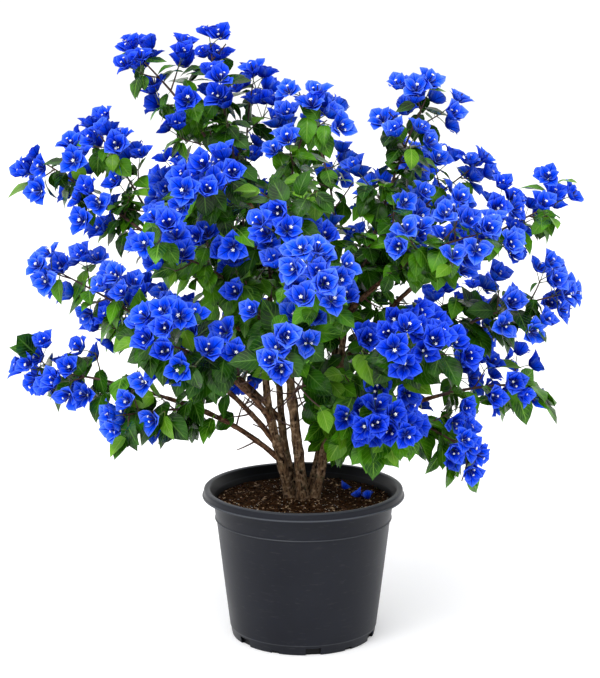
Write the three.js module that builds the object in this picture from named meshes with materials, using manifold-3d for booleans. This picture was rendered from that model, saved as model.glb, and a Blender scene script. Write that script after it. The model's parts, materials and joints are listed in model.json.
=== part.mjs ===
// A bougainvillea bush in full flower, standing in a round nursery pot.
// Millimetres, +Z up, origin at the centre of the pot's flat underside. +X is the bush's right, +Y its back.
// Five stems rise from one root in the soil. Boughs leave the stems and carry sprays: open masses of twigs
// with leaves and flower heads. Every limb is a curve from its parent to a tip given by bearing, rise and reach.
import * as THREE from "three";
import { mergeVertices } from "three/addons/utils/BufferGeometryUtils.js";
import Module from "manifold-3d";

const wasm = await Module();
wasm.setup();

// ---------------------------------------------------------------- driving sizes
const POT = {
  rimRadius: 150, height: 223, baseRadius: 108.5, wall: 2.5, floor: 3, segments: 32,
  lipHeight: 11.5, lipOverhang: 15, lipWidth: 10, lipRound: 3, // the turned-out rim
  collarHeight: 34, collarStep: 1.5, // the band under the lip
  footHeight: 14, footStep: 1, footRound: 2, stepSlope: 1, // the band round the foot
};
const NOTCH = { count: 6, width: 22, height: 11, firstAngle: -82.4, depth: 9 }; // drain notches in the foot
const SOIL = { level: 206, dish: 2.5, shoulder: 0.7, flatRadius: 48 };
const GAP = 0.35; // clearance between neighbouring solids
const ROUNDING = 0.01; // the smallest step that a solid keeps
const HEART = 400; // height of the crown's heart, from which every tip is measured

const STEM_SIDES = 6, STEM_RINGS = 8, BOUGH_SIDES = 5, BOUGH_RINGS = 5;
const SPRAY_STEM_SIDES = 4, TWIG_SIDES = 3;
const ROOT_FLARE = 1.4, FLARE_LENGTH = 0.07; // the foot's swelling, and the share of the stem that it takes
const SWEEP = 0.4; // how far a limb still follows its parent's direction as it leaves it
const CONTROL = 0.45; // where a limb's curve has its control point, as a share of its span
const STEM_BOW = { out: 0.75, up: 0.4 }; // the same for a stem, across and upwards
const CARRY_ON = 0.75; // how far a spray on a limb's tip follows that limb
const BOUGH_RADIUS = 4.4, BOUGH_TIP_RADIUS = 3, THINNER = 0.85; // a bough is thinner than its parent
const SPRAY_STEM_RADIUS = 2.9, SPRAY_STEM_TIP_RADIUS = 2, TWIG_RADIUS = 1.35, TWIG_TIP_RADIUS = 1.2;

const LEAF = { length: 72, width: 46, thickness: 2.4, droop: 9, sunk: 0.3 };
const HEAD = { points: 5, radius: 37, notch: 0.72, cup: 19, throat: 3, back: -2.3, offset: 7, sunk: 3 };
const TWIG = { lean: 58, leanSpread: 30, rise: 0.12, length: 0.66, shorter: 0.2, free: 4 };
const GOLDEN_ANGLE = 137.5; // the turn from one side twig to the next
const NODE_START = 0.9, NODE_END = 0.5; // bare stem before the first side twig and after the last, in nodes
const LEAF_BELOW = 0.05, LEAF_TURN = 2; // where a leaf stands from its node: share of stem, and radians round it

// How a shape points: along its twig, away from the crown's heart, upwards and by chance.
const LEAF_POINTS = { along: 0.6, away: 0.5, up: -0.35, chance: 0.9 };
const LEAF_LOOKS = { along: 0, away: 0.6, up: 0.6, chance: 0.5 };
const HEAD_LOOKS = { along: 0.9, away: 0.35, up: 0.15, chance: 0.6 };
const OUTWARD_LIFT = 0.25;
// Each new trial turns a shape another way and makes it a little smaller.
const LEAF_SIZE = { first: 1.1, step: 0.08, spread: 0.1 };
const HEAD_SIZE = { first: 1.15, step: 0.06, spread: 0.1 };
const TRIALS = 8, TRIAL_TURN = 0.35, TRIAL_SHORTER = 0.1;
const SPACE_MARGIN = 3.2, LIMB_MARGIN = 1.2, POT_MARGIN = 6; // kept from the next space, a limb and the pot

const AXIS_PIECES = 3; // bends in a spray's own stem
const SIDE_TWIGS = 7, LEAFY_SIDE_TWIGS = 5;
const LEAF_EVERY = 3; // a flowering spray has a leaf at every third of its nodes
const END_REACH = 24; // from the last point of a spray's stem to its outermost flower

const COLOURS = {
  pot: [0x2f3138, 0.45], soil: [0x2b1f14, 0.95], bark: [0x6b5440, 0.9],
  blossom: [0x1f46e6, 0.6], foliage: [0x2f5a1e, 0.55],
};

// name, foot x, foot y, foot radius, top x, top y, top z, top radius
const STEMS = [
  ["stem_left", -20, -4, 7.2, -60, -25, 470, 4.6],
  ["stem_centre", -1, -9, 8.6, -25, -20, 600, 4.2],
  ["stem_right", 16, -3, 7.4, 60, -5, 500, 4.6],
  ["stem_back_left", -11, 16, 6.0, -50, 70, 500, 4.4],
  ["stem_back_right", 9, 17, 6.0, 55, 75, 500, 4.4],
];

// Each branch ends at a tip: bearing (0 is right, 90 back), rise above the horizontal and reach from the heart.
// It leaves its parent at a share of the parent's length. The first share of its curve is a bare bough,
// and the rest is the stem of its spray; with no bare share the spray grows straight from the parent.
// name, parent, leaves at, bearing, rise, reach, bare share, spread of the spray, leafy
const BRANCHES = [
  ["low_left", "stem_left", 0.26, 184, 1, 423, 0.5, 74],
  ["mid_left", "stem_left", 0.36, 183, 23, 417, 0.48, 80],
  ["upper_left", "stem_left", 0.8, 177, 38, 519, 0.48, 76],
  ["crest_left", "stem_centre", 0.86, 173, 61, 547, 0.5, 76],
  ["top_right", "stem_right", 0.86, 0, 66, 468, 0.4, 84],
  ["right_tip", "stem_right", 0.72, 0, 33, 478, 0.48, 80],
  ["right_mid", "stem_right", 0.5, 0, 16, 424, 0.5, 82],
  ["right_low", "stem_right", 0.28, 9, -5, 393, 0.55, 66],
  ["front_right", "stem_right", 0.42, 298, 15, 375, 0.46, 84],
  ["front_centre", "stem_centre", 0.56, 274, 26, 402, 0.46, 86],
  ["front_left", "stem_left", 0.5, 232, 15, 360, 0.46, 88],
  ["front_right_up", "stem_right", 0.92, 324, 35, 395, 0.4, 86],
  ["front_left_up", "stem_left", 0.92, 236, 53, 404, 0.4, 84],
  ["back_left", "stem_back_left", 0.4, 148, 8, 385, 0.48, 88],
  ["back_left_up", "stem_back_left", 0.84, 135, 38, 430, 0.4, 88],
  ["back_right", "stem_back_right", 0.42, 36, 8, 390, 0.48, 88],
  ["back_right_up", "stem_back_right", 0.84, 48, 44, 430, 0.4, 88],

  ["left_top", "upper_left", 0.7, 170, 49, 491, 0, 76],
  ["crest", "crest_left", 0.66, 180, 75, 521, 0, 72],
  ["top_mid", "stem_centre", 1, 337, 86, 418, 0, 84],
  ["top_back_left", "back_left_up", 0.6, 130, 77, 460, 0, 80],
  ["right_upper", "back_right_up", 0.7, 20, 46, 430, 0, 76],
  ["front_upper", "stem_centre", 0.95, 266, 40, 405, 0, 84],
  ["front_low_right", "front_right", 0.55, 300, -10, 285, 0, 76],
  ["front_low", "front_centre", 0.55, 263, 12, 352, 0, 76],
  ["front_mid_left", "front_left_up", 0.5, 222, 34, 388, 0, 80],
  ["low_left_front", "low_left", 0.7, 203, -9, 312, 0, 76],
  ["low_right_front", "right_low", 0.6, 343, -28, 318, 0, 72],
  ["back_low", "back_left", 0.6, 96, 10, 375, 0, 88],
  ["back_top", "stem_back_right", 1, 88, 58, 425, 0, 88],

  ["leaves_right", "stem_right", 1, 335, 52, 290, 0, 84, true],
  ["leaves_left", "stem_left", 1, 176, 56, 330, 0, 84, true],
  ["leaves_front", "stem_centre", 0.42, 272, 0, 215, 0, 74, true],
  ["leaves_back", "stem_back_left", 1, 100, 30, 300, 0, 80, true],
  ["leaves_low_back", "stem_back_right", 0.36, 60, -12, 270, 0, 70, true],
  ["leaves_low_right", "stem_right", 0.36, 318, -22, 205, 0, 60, true],
];

// ---------------------------------------------------------------- vectors, chance and solids
const UP = new THREE.Vector3(0, 0, 1);
const radians = THREE.MathUtils.degToRad;

function seeded(seed) {
  let state = seed;
  const draw = () => {
    state = (Math.imul(state, 1664525) + 1013904223) >>> 0;
    return state / 2 ** 32;
  };
  draw();
  draw();
  return draw;
}

function blend(...pairs) {
  const sum = new THREE.Vector3();
  for (const [vector, share] of pairs) sum.addScaledVector(vector, share);
  return sum.normalize();
}

// Two directions square to the given one: the first level, the second as near upright as it can be.
function across(direction) {
  const level = new THREE.Vector3().crossVectors(direction, UP);
  if (level.length() < 0.2) level.set(1, 0, 0).addScaledVector(direction, -direction.x);
  level.normalize();
  return [level, new THREE.Vector3().crossVectors(level, direction)];
}

function around(direction, angle) {
  const [level, upright] = across(direction);
  return blend([level, Math.cos(angle)], [upright, Math.sin(angle)]);
}

function solidOf(geometry) {
  const bare = geometry.clone();
  bare.deleteAttribute("normal");
  bare.deleteAttribute("uv");
  const merged = mergeVertices(bare, 1e-4);
  return new wasm.Manifold(new wasm.Mesh({
    numProp: 3,
    vertProperties: merged.attributes.position.array,
    triVerts: new Uint32Array(merged.index.array),
  }));
}

function geometryOf(solid) {
  const mesh = solid.getMesh();
  const points = new Float32Array(mesh.numVert * 3);
  for (let i = 0; i < mesh.numVert; i++) {
    points.set(mesh.vertProperties.subarray(i * mesh.numProp, i * mesh.numProp + 3), i * 3);
  }
  const geometry = new THREE.BufferGeometry();
  geometry.setAttribute("position", new THREE.BufferAttribute(points, 3));
  geometry.setIndex(new THREE.BufferAttribute(new Uint32Array(mesh.triVerts), 1));
  geometry.computeVertexNormals();
  return geometry;
}

function largestBody(solid) {
  return solid.decompose().reduce((best, body) => (body.volume() > best.volume() ? body : best));
}

function reshaped(geometry, move) {
  const position = geometry.attributes.position;
  const point = new THREE.Vector3();
  for (let i = 0; i < position.count; i++) {
    point.fromBufferAttribute(position, i);
    move(point);
    position.setXYZ(i, point.x, point.y, point.z);
  }
  return geometry;
}

// ---------------------------------------------------------------- pot and soil
function turned(profile) {
  const points = profile.map(([radius, height]) => new THREE.Vector2(radius, height));
  return solidOf(new THREE.LatheGeometry(points, POT.segments).rotateX(Math.PI / 2));
}

function wallRadius(height) {
  const neck = POT.rimRadius - POT.lipOverhang;
  return POT.baseRadius + (neck - POT.baseRadius) * (height / (POT.height - POT.lipHeight));
}

function potSolid() {
  const { height, footHeight, footStep, footRound, stepSlope, collarStep, lipRound, rimRadius: rim } = POT;
  const lipFoot = height - POT.lipHeight;
  const collar = lipFoot - POT.collarHeight;
  const inner = (level) => wallRadius(level) - POT.wall - collarStep;
  let pot = turned([
    [0, 0], [POT.baseRadius - footStep - footRound, 0], [POT.baseRadius - footStep, footRound],
    [wallRadius(footHeight) - footStep, footHeight], [wallRadius(footHeight), footHeight + stepSlope],
    [wallRadius(collar) - collarStep, collar], [wallRadius(collar), collar + stepSlope],
    [wallRadius(lipFoot) - stepSlope, lipFoot], [rim - lipRound, lipFoot], [rim - stepSlope, lipFoot + stepSlope],
    [rim, height - lipRound], [rim - lipRound, height],
    [rim - POT.lipWidth, height], [inner(height), height - lipRound], [inner(lipFoot), lipFoot - lipRound],
    [inner(POT.floor), POT.floor], [0, POT.floor],
  ]);
  for (let i = 0; i < NOTCH.count; i++) {
    const cutter = new THREE.BoxGeometry(NOTCH.depth, NOTCH.width, NOTCH.height * 2)
      .translate(POT.baseRadius, 0, 0)
      .rotateZ(radians(NOTCH.firstAngle + (i * 360) / NOTCH.count));
    pot = pot.subtract(solidOf(cutter));
  }
  return pot;
}

function soilSolid() {
  const fit = (level) => wallRadius(level) - POT.wall - POT.collarStep - GAP;
  const bottom = POT.floor + GAP;
  const edge = SOIL.level - SOIL.dish;
  return turned([
    [0, bottom], [fit(bottom), bottom], [fit(edge), edge],
    [fit(edge) * SOIL.shoulder, edge + SOIL.dish / 2], [SOIL.flatRadius, SOIL.level], [0, SOIL.level],
  ]);
}

// ---------------------------------------------------------------- limbs
// A limb is a curve, its radius at each end and a flare at its foot.
function limbRadius(limb, share) {
  const flare = limb.flare ? (ROOT_FLARE - 1) * Math.max(0, 1 - share / FLARE_LENGTH) ** 2 : 0;
  return THREE.MathUtils.lerp(limb.radius, limb.tipRadius, share) * (1 + flare);
}

// A tapering tube bent along a curve. Its rings stand square to the curve, or the first one to its own direction.
function bentTube({ pointAt, directionAt, radiusAt, sides, rings, footDirection = directionAt(0) }) {
  const tube = new THREE.CylinderGeometry(1, 1, rings, sides, rings).rotateX(Math.PI / 2);
  const [level] = across(directionAt(0.5));
  reshaped(tube, (point) => {
    const ring = Math.round(point.z + rings / 2);
    const share = ring / rings;
    const direction = ring === 0 ? footDirection : directionAt(share);
    const side = level.clone().addScaledVector(direction, -level.dot(direction)).normalize();
    const other = new THREE.Vector3().crossVectors(direction, side);
    const [x, y] = [point.x * radiusAt(share), point.y * radiusAt(share)];
    point.copy(pointAt(share)).addScaledVector(side, x).addScaledVector(other, y);
  });
  return solidOf(tube);
}

function limbSolid(limb, swell = 0) {
  return bentTube({
    pointAt: (share) => limb.curve.getPoint(limb.bare * share),
    directionAt: (share) => limb.curve.getTangent(limb.bare * share),
    radiusAt: (share) => limbRadius(limb, share) + swell,
    sides: limb.sides, rings: limb.rings, footDirection: limb.flare ? UP : undefined,
  });
}

// The limb's centre line as short pieces with a radius each, for measuring clearances.
function limbLine(limb) {
  const pieces = 10;
  return Array.from({ length: pieces }, (_, i) => ({
    from: limb.curve.getPoint((limb.bare * i) / pieces),
    to: limb.curve.getPoint((limb.bare * (i + 1)) / pieces),
    radius: limbRadius(limb, i / pieces),
  }));
}

function stemLimb([name, footX, footY, radius, topX, topY, topZ, tipRadius]) {
  const foot = new THREE.Vector3(footX, footY, SOIL.level + GAP);
  const top = new THREE.Vector3(topX, topY, topZ);
  const bow = foot.clone().lerp(top, STEM_BOW.out).setZ(foot.z + STEM_BOW.up * (topZ - foot.z));
  const curve = new THREE.QuadraticBezierCurve3(foot, bow, top);
  return { name, curve, radius, tipRadius, bare: 1, flare: true, sides: STEM_SIDES, rings: STEM_RINGS };
}

function tipOf(bearing, rise, reach) {
  const level = reach * Math.cos(radians(rise));
  return new THREE.Vector3(
    level * Math.cos(radians(bearing)), level * Math.sin(radians(bearing)), HEART + reach * Math.sin(radians(rise)),
  );
}

function branchOf([name, parentName, at, bearing, rise, reach, bare, spread, leafy = false], index, limbs) {
  const parent = limbs.get(parentName);
  const start = parent.curve.getPoint(parent.bare * at);
  const along = parent.curve.getTangent(parent.bare * at);
  const tip = tipOf(bearing, rise, reach);
  const span = start.distanceTo(tip);
  const toTip = tip.clone().sub(start).normalize();
  const fromTip = at === 1; // it carries its parent on, a gap further along
  if (fromTip) start.addScaledVector(along, GAP);
  const follow = fromTip ? CARRY_ON : SWEEP;
  const leaving = blend([along, follow], [toTip, 1 - follow]);
  const bow = start.clone().addScaledVector(leaving, CONTROL * span);
  const radius = Math.min(BOUGH_RADIUS, THINNER * limbRadius(parent, at));
  return {
    name, parent, fromTip, along, bare, spread, leafy, index, radius,
    curve: new THREE.QuadraticBezierCurve3(start, bow, tip),
    tipRadius: BOUGH_TIP_RADIUS, flare: false, sides: BOUGH_SIDES, rings: BOUGH_RINGS,
  };
}

// ---------------------------------------------------------------- sprays
function sprayAxis({ curve, bare, fromTip }) {
  const last = 1 - END_REACH / curve.getLength();
  const points = [];
  for (let i = 0; i <= AXIS_PIECES; i++) points.push(curve.getPoint(bare + ((last - bare) * i) / AXIS_PIECES));
  if (bare > 0) points[0].addScaledVector(curve.getTangent(bare), GAP);
  return points;
}

// A spray's stem meets the limb that it carries on square to that limb's end.
function footDirection({ bare, curve, fromTip, along }) {
  if (bare > 0) return curve.getTangent(bare);
  return fromTip ? along : undefined;
}

function distanceToPiece(point, from, to) {
  const along = to.clone().sub(from);
  const share = THREE.MathUtils.clamp(point.clone().sub(from).dot(along) / along.lengthSq(), 0, 1);
  return point.distanceTo(from.clone().addScaledVector(along, share));
}

function distanceToAxis(point, points) {
  let best = Infinity;
  for (let i = 1; i < points.length; i++) {
    best = Math.min(best, distanceToPiece(point, points[i - 1], points[i]));
  }
  return best;
}

// The distance between two straight pieces, from points spread along each of them.
function distanceBetween(a, b, c, d) {
  const samples = 5;
  let best = Infinity;
  for (let i = 0; i <= samples; i++) {
    best = Math.min(best, distanceToPiece(a.clone().lerp(b, i / samples), c, d));
    best = Math.min(best, distanceToPiece(c.clone().lerp(d, i / samples), a, b));
  }
  return best;
}

function inPot(point) {
  return point.z < POT.height + POT_MARGIN && Math.hypot(point.x, point.y) < POT.rimRadius + POT_MARGIN;
}

// A shape may grow if its edges keep to the spray's own space and stay off every limb.
// A spray's space is all that lies nearer to its stem than to any other spray's, within its spread.
function mayGrow(edges, spray, plant, thickness = 0) {
  for (const [from, to] of edges) {
    for (let i = 0; i <= 3; i++) {
      const point = from.clone().lerp(to, i / 3);
      const own = distanceToAxis(point, spray.axis);
      if (own > spray.branch.spread || inPot(point)) return false;
      for (const other of plant.sprays) {
        if (other !== spray && distanceToAxis(point, other.axis) < own + SPACE_MARGIN) return false;
      }
    }
    for (const piece of plant.limbPieces) {
      const clear = distanceBetween(from, to, piece.from, piece.to) - piece.radius - thickness;
      if (clear < LIMB_MARGIN) return false;
    }
  }
  return true;
}

function twigSolid(from, to, radius, tipRadius) {
  return bentTube({
    pointAt: (share) => from.clone().lerp(to, share),
    directionAt: () => to.clone().sub(from).normalize(),
    radiusAt: (share) => THREE.MathUtils.lerp(radius, tipRadius, share),
    sides: TWIG_SIDES, rings: 1,
  });
}

// Puts a leaf or flower head at its root: X runs the given way, and Z as near to the face as it can.
function placed(geometry, root, direction, face) {
  const side = new THREE.Vector3().crossVectors(face, direction).normalize();
  const looks = new THREE.Vector3().crossVectors(direction, side);
  return geometry.applyMatrix4(new THREE.Matrix4().makeBasis(direction, side, looks).setPosition(root));
}

// A leaf is a pointed blade with a keel under it, widest near its foot. Its sides and its tip hang down.
function leafGeometry(size) {
  const blade = new THREE.SphereGeometry(1, 3, 2).rotateX(Math.PI / 2);
  return reshaped(blade, (unit) => {
    if (Math.abs(unit.z) > 0.5) {
      unit.set(unit.z > 0 ? LEAF.length * size : -LEAF.sunk, 0, unit.z > 0 ? -LEAF.droop * size : 0);
      return;
    }
    const corner = Math.round((Math.atan2(unit.y, unit.x) + Math.PI) / (Math.PI / 3));
    const keel = corner % 6 === 0;
    const halfWidth = keel ? 0 : -Math.sign(unit.y) * LEAF.width * 0.5 * size;
    unit.set(LEAF.length * 0.4 * size, halfWidth, keel ? -LEAF.thickness : 0);
  });
}

// A flower head is a five-pointed cup of bracts. The twig that carries it ends inside it, beside its middle.
function headGeometry(size) {
  const cup = new THREE.SphereGeometry(1, HEAD.points * 2, 2).rotateX(Math.PI / 2);
  const sector = Math.PI / HEAD.points;
  return reshaped(cup, (unit) => {
    if (Math.abs(unit.z) > 0.5) {
      unit.set(unit.z > 0 ? HEAD.throat : HEAD.back, 0, 0);
    } else {
      const turn = Math.atan2(unit.y, unit.x);
      const outer = Math.round(turn / sector) % 2 === 0;
      const radius = HEAD.radius * size * (outer ? 1 : HEAD.notch);
      const depth = HEAD.cup * size * (outer ? 1 : 0.7);
      unit.set(depth, radius * Math.cos(turn), radius * Math.sin(turn));
    }
    unit.x -= HEAD.sunk;
    unit.y -= HEAD.offset * Math.cos(sector / 2);
    unit.z -= HEAD.offset * Math.sin(sector / 2);
  });
}

function edgesOf(geometry) {
  const { position } = geometry.attributes;
  const { index } = geometry;
  const corner = (i) => new THREE.Vector3().fromBufferAttribute(position, index.getX(i));
  const edges = [];
  for (let i = 0; i < index.count; i += 3) {
    for (let k = 0; k < 3; k++) {
      const [from, to] = [corner(i + k), corner(i + ((k + 1) % 3))];
      if (from.distanceTo(to) > 0.1) edges.push([from, to]);
    }
  }
  return edges;
}

// The way out of the crown at a point: away from its heart, and a little up.
function outward(point) {
  return blend([point.clone().sub(new THREE.Vector3(0, 0, HEART)).normalize(), 1], [UP, OUTWARD_LIFT]);
}

function pointing(weights, along, root, chance) {
  return blend(
    [along, weights.along], [outward(root), weights.away], [UP, weights.up], [chance, weights.chance],
  );
}

function growSpray(spray, plant) {
  const { branch, axis } = spray;
  const draw = seeded(7919 * (branch.index + 1));
  const wild = () => new THREE.Vector3(draw() - 0.5, draw() - 0.5, draw() - 0.5);
  const stem = new THREE.CatmullRomCurve3(axis);
  const solids = [bentTube({
    pointAt: (share) => stem.getPoint(share), directionAt: (share) => stem.getTangent(share),
    radiusAt: (share) => THREE.MathUtils.lerp(SPRAY_STEM_RADIUS, SPRAY_STEM_TIP_RADIUS, share),
    sides: SPRAY_STEM_SIDES, rings: AXIS_PIECES, footDirection: footDirection(branch),
  })];
  const crosses = (solid, carrier) => solids.some((other) => other !== carrier && !solid.intersect(other).isEmpty());
  // Makes a shape that keeps to its space and crosses nothing but what carries it, or nothing at all.
  const fitted = (geometry, carrier) => {
    if (!mayGrow(edgesOf(geometry), spray, plant)) return null;
    const solid = solidOf(geometry);
    return crosses(solid, carrier) ? null : solid;
  };

  const sizeOf = (size, trial) => size.first - size.step * trial - size.spread * draw();
  const leafAt = (root, along, carrier) => {
    for (let trial = 0; trial < TRIALS; trial++) {
      const direction = pointing(LEAF_POINTS, along, root, wild());
      const face = pointing(LEAF_LOOKS, along, root, wild());
      const leaf = fitted(placed(leafGeometry(sizeOf(LEAF_SIZE, trial)), root, direction, face), carrier);
      if (leaf) return leaf;
    }
    return null;
  };
  const headAt = (root, along, carrier, size) => {
    const facing = pointing(HEAD_LOOKS, along, root, wild());
    return fitted(placed(headGeometry(size), root, facing, wild()), carrier);
  };

  // A side twig and the flower head, or the leaf, at its end.
  const twigAt = (root, along, turn, length) => {
    for (let trial = 0; trial < TRIALS; trial++) {
      const lean = radians(TWIG.lean + TWIG.leanSpread * (draw() - 0.5));
      const side = around(along, turn + TRIAL_TURN * trial * (trial % 2 ? 1 : -1));
      const direction = blend([along, Math.cos(lean)], [side, Math.sin(lean)], [UP, TWIG.rise]);
      const end = root.clone().addScaledVector(direction, length * (1 - TRIAL_SHORTER * trial));
      const free = root.clone().addScaledVector(direction, TWIG.free);
      if (!mayGrow([[free, end]], spray, plant, TWIG_RADIUS)) continue;
      const twig = twigSolid(root, end, TWIG_RADIUS, TWIG_TIP_RADIUS);
      if (crosses(twig, solids[0])) continue;
      const size = sizeOf(HEAD_SIZE, trial);
      const last = branch.leafy ? leafAt(end, direction, twig) : headAt(end, direction, twig, size);
      if (last) return [twig, last];
    }
    return [];
  };

  const tip = stem.getTangent(1);
  const end = axis[AXIS_PIECES];
  const first = branch.leafy ? leafAt(end, tip, solids[0]) : headAt(end, tip, solids[0], 1);
  if (first) solids.push(first);
  const phase = draw() * 2 * Math.PI;
  const nodes = branch.leafy ? LEAFY_SIDE_TWIGS : SIDE_TWIGS;
  for (let node = nodes - 1; node >= 0; node--) {
    const share = (node + NODE_START) / (nodes + NODE_END);
    const turn = phase + node * radians(GOLDEN_ANGLE);
    const length = branch.spread * (TWIG.length - TWIG.shorter * share) * (0.85 + 0.3 * draw());
    solids.push(...twigAt(stem.getPoint(share), stem.getTangent(share), turn, length));
    if (!branch.leafy && node % LEAF_EVERY) continue;
    const foot = share - LEAF_BELOW;
    const leaf = leafAt(stem.getPoint(foot), around(stem.getTangent(foot), turn + LEAF_TURN), solids[0]);
    if (leaf) solids.push(leaf);
  }
  return solids;
}

// ---------------------------------------------------------------- the whole plant
const bush = new THREE.Group();
const materials = Object.fromEntries(Object.entries(COLOURS).map(([name, [color, roughness]]) => [
  name, new THREE.MeshStandardMaterial({ color, roughness, metalness: 0, flatShading: true }),
]));

function addNode(name, solid, material) {
  const mesh = new THREE.Mesh(geometryOf(solid), materials[material]);
  mesh.name = name;
  bush.add(mesh);
}

addNode("pot", potSolid(), "pot");
addNode("soil", soilSolid(), "soil");

const limbs = new Map(STEMS.map((row) => [row[0], stemLimb(row)]));
const branches = BRANCHES.map((row, index) => {
  const branch = branchOf(row, index, limbs);
  if (branch.bare > 0) limbs.set(branch.name, branch);
  return branch;
});

const plant = {
  sprays: branches.map((branch) => ({ branch, axis: sprayAxis(branch) })),
  limbPieces: [...limbs.values()].flatMap(limbLine),
};

// Each limb is cut clear of the limbs before it, so a bough sits on its parent in a close saddle.
const limbsBefore = [];
for (const limb of limbs.values()) {
  let solid = limbSolid(limb);
  for (const before of limbsBefore) solid = solid.subtract(limbSolid(before, GAP));
  addNode(limb.parent ? `bough_${limb.name}` : limb.name, largestBody(solid), "bark");
  limbsBefore.push(limb);
}

for (const spray of plant.sprays) {
  const { branch } = spray;
  const carrier = branch.bare > 0 ? branch : branch.fromTip && branch.parent;
  let solid = wasm.Manifold.union(growSpray(spray, plant)).simplify(ROUNDING);
  for (const limb of limbsBefore) {
    if (limb !== carrier) solid = solid.subtract(limbSolid(limb, GAP));
  }
  addNode(`spray_${branch.name}`, largestBody(solid), branch.leafy ? "foliage" : "blossom");
}

export default bush;
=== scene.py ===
# %% [markdown]
# # A bougainvillea bush in a nursery pot
#
# The bush stands in a round black nursery pot. Five stems rise from one root, boughs leave the stems,
# and every bough carries sprays of thin twigs with leaves and flower heads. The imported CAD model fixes
# where everything is, so this lesson first loads it and then dresses it, piece by piece. All sizes are
# metres in the CAD's own frame: +Z is up, the origin is the middle of the pot's flat underside.

# %% Load the frame
import json
import math

import bmesh
import bpy
import numpy as np
from mathutils import Matrix, Vector, noise

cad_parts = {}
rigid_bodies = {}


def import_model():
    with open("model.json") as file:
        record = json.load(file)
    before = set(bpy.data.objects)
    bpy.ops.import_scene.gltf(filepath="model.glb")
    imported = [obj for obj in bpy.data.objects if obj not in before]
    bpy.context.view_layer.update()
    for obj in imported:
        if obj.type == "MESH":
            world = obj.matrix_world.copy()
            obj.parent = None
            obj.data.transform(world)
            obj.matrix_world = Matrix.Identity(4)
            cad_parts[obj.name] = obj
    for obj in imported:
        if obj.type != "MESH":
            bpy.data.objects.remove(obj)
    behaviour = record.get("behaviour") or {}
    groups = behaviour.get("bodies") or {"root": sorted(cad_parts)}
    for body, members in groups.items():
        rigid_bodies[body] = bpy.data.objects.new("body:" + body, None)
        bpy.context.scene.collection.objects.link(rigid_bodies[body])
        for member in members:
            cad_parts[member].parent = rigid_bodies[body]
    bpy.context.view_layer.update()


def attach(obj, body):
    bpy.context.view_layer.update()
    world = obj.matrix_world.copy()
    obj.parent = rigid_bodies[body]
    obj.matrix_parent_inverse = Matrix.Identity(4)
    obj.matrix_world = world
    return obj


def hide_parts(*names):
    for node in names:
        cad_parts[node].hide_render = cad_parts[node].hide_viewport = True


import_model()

# %% [markdown]
# ## Camera, floor and light
#
# A plant with thousands of small leaves is judged by its outline and by the soft shading between the
# leaves. A long lens from a little above eye height keeps the outline true. The floor is one large pale
# plane. The light is a white sky, one big lamp at the upper left and a broad, soft daylight. Wide lights
# give soft edges to the shadows, which small ones would not.

# %% Camera
MM = 0.001
CAMERA_PLACE = (-0.005, -2.285, 0.851)
CAMERA_PITCH = 10.07  # degrees below the horizon
LENS, SENSOR = 84.4, 36  # millimetres
CAMERA_REACH = 60  # metres


def in_scene(name, data):
    """A new object that holds the data, linked to the scene."""
    thing = bpy.data.objects.new(name, data)
    bpy.context.scene.collection.objects.link(thing)
    return thing


camera = in_scene("camera", bpy.data.cameras.new("camera"))
camera.data.lens = LENS
camera.data.sensor_width = SENSOR
camera.data.clip_end = CAMERA_REACH
camera.location = CAMERA_PLACE
camera.rotation_euler = (math.radians(90 - CAMERA_PITCH), 0, 0)
bpy.context.scene.camera = camera
print("camera looks along +Y from", CAMERA_PLACE)


# %% Node helpers
def add_node(tree, kind, inputs=None, **settings):
    """Adds a node, sets its settings, and sets or links its inputs by name or number."""
    node = tree.nodes.new(kind)
    for name, value in settings.items():
        setattr(node, name, value)
    for name, value in (inputs or {}).items():
        socket = node.inputs[name]
        if isinstance(value, bpy.types.NodeSocket):
            tree.links.new(value, socket)
        else:
            socket.default_value = value
    return node


def maths(tree, operation, *values):
    """The result of a Math node; each value is a number or a socket."""
    return add_node(tree, "ShaderNodeMath", dict(enumerate(values)), operation=operation).outputs[0]


# %% Floor and light
FLOOR_HALF = 14
FLOOR_WHITE, FLOOR_ROUGHNESS = 0.97, 0.8
FLOOR_GLOW = 0.15  # keeps the soft shadow as faint as on a lit table
SKY_STRENGTH = 1.08
KEY_PLACE, KEY_TARGET = (-1.5, -2.0, 2.9), (0, 0, 0.5)
KEY_WIDTH, KEY_POWER = 1.1, 26  # metres and watts
DAYLIGHT_STRENGTH, DAYLIGHT_SPREAD, DAYLIGHT_TURN = 1.15, 50, (34, -16, 0)  # the last two in degrees


def floor_material():
    material = bpy.data.materials.new("pale floor")
    material.use_nodes = True
    shader = material.node_tree.nodes["Principled BSDF"]
    shader.inputs["Base Color"].default_value = (FLOOR_WHITE, FLOOR_WHITE, FLOOR_WHITE, 1)
    shader.inputs["Roughness"].default_value = FLOOR_ROUGHNESS
    shader.inputs["Emission Color"].default_value = (1, 1, 1, 1)
    shader.inputs["Emission Strength"].default_value = FLOOR_GLOW
    return material


floor_mesh = bpy.data.meshes.new("floor")
floor_mesh.from_pydata(
    [(-FLOOR_HALF, -FLOOR_HALF, 0), (FLOOR_HALF, -FLOOR_HALF, 0),
     (FLOOR_HALF, FLOOR_HALF, 0), (-FLOOR_HALF, FLOOR_HALF, 0)], [], [(0, 1, 2, 3)])
floor_mesh.materials.append(floor_material())
in_scene("floor", floor_mesh)

world = bpy.data.worlds.new("studio sky")
world.use_nodes = True
world.node_tree.nodes["Background"].inputs["Color"].default_value = (1, 1, 1, 1)
world.node_tree.nodes["Background"].inputs["Strength"].default_value = SKY_STRENGTH
bpy.context.scene.world = world
bpy.context.scene.view_settings.view_transform = "Standard"
bpy.context.scene.view_settings.look = "None"

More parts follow.
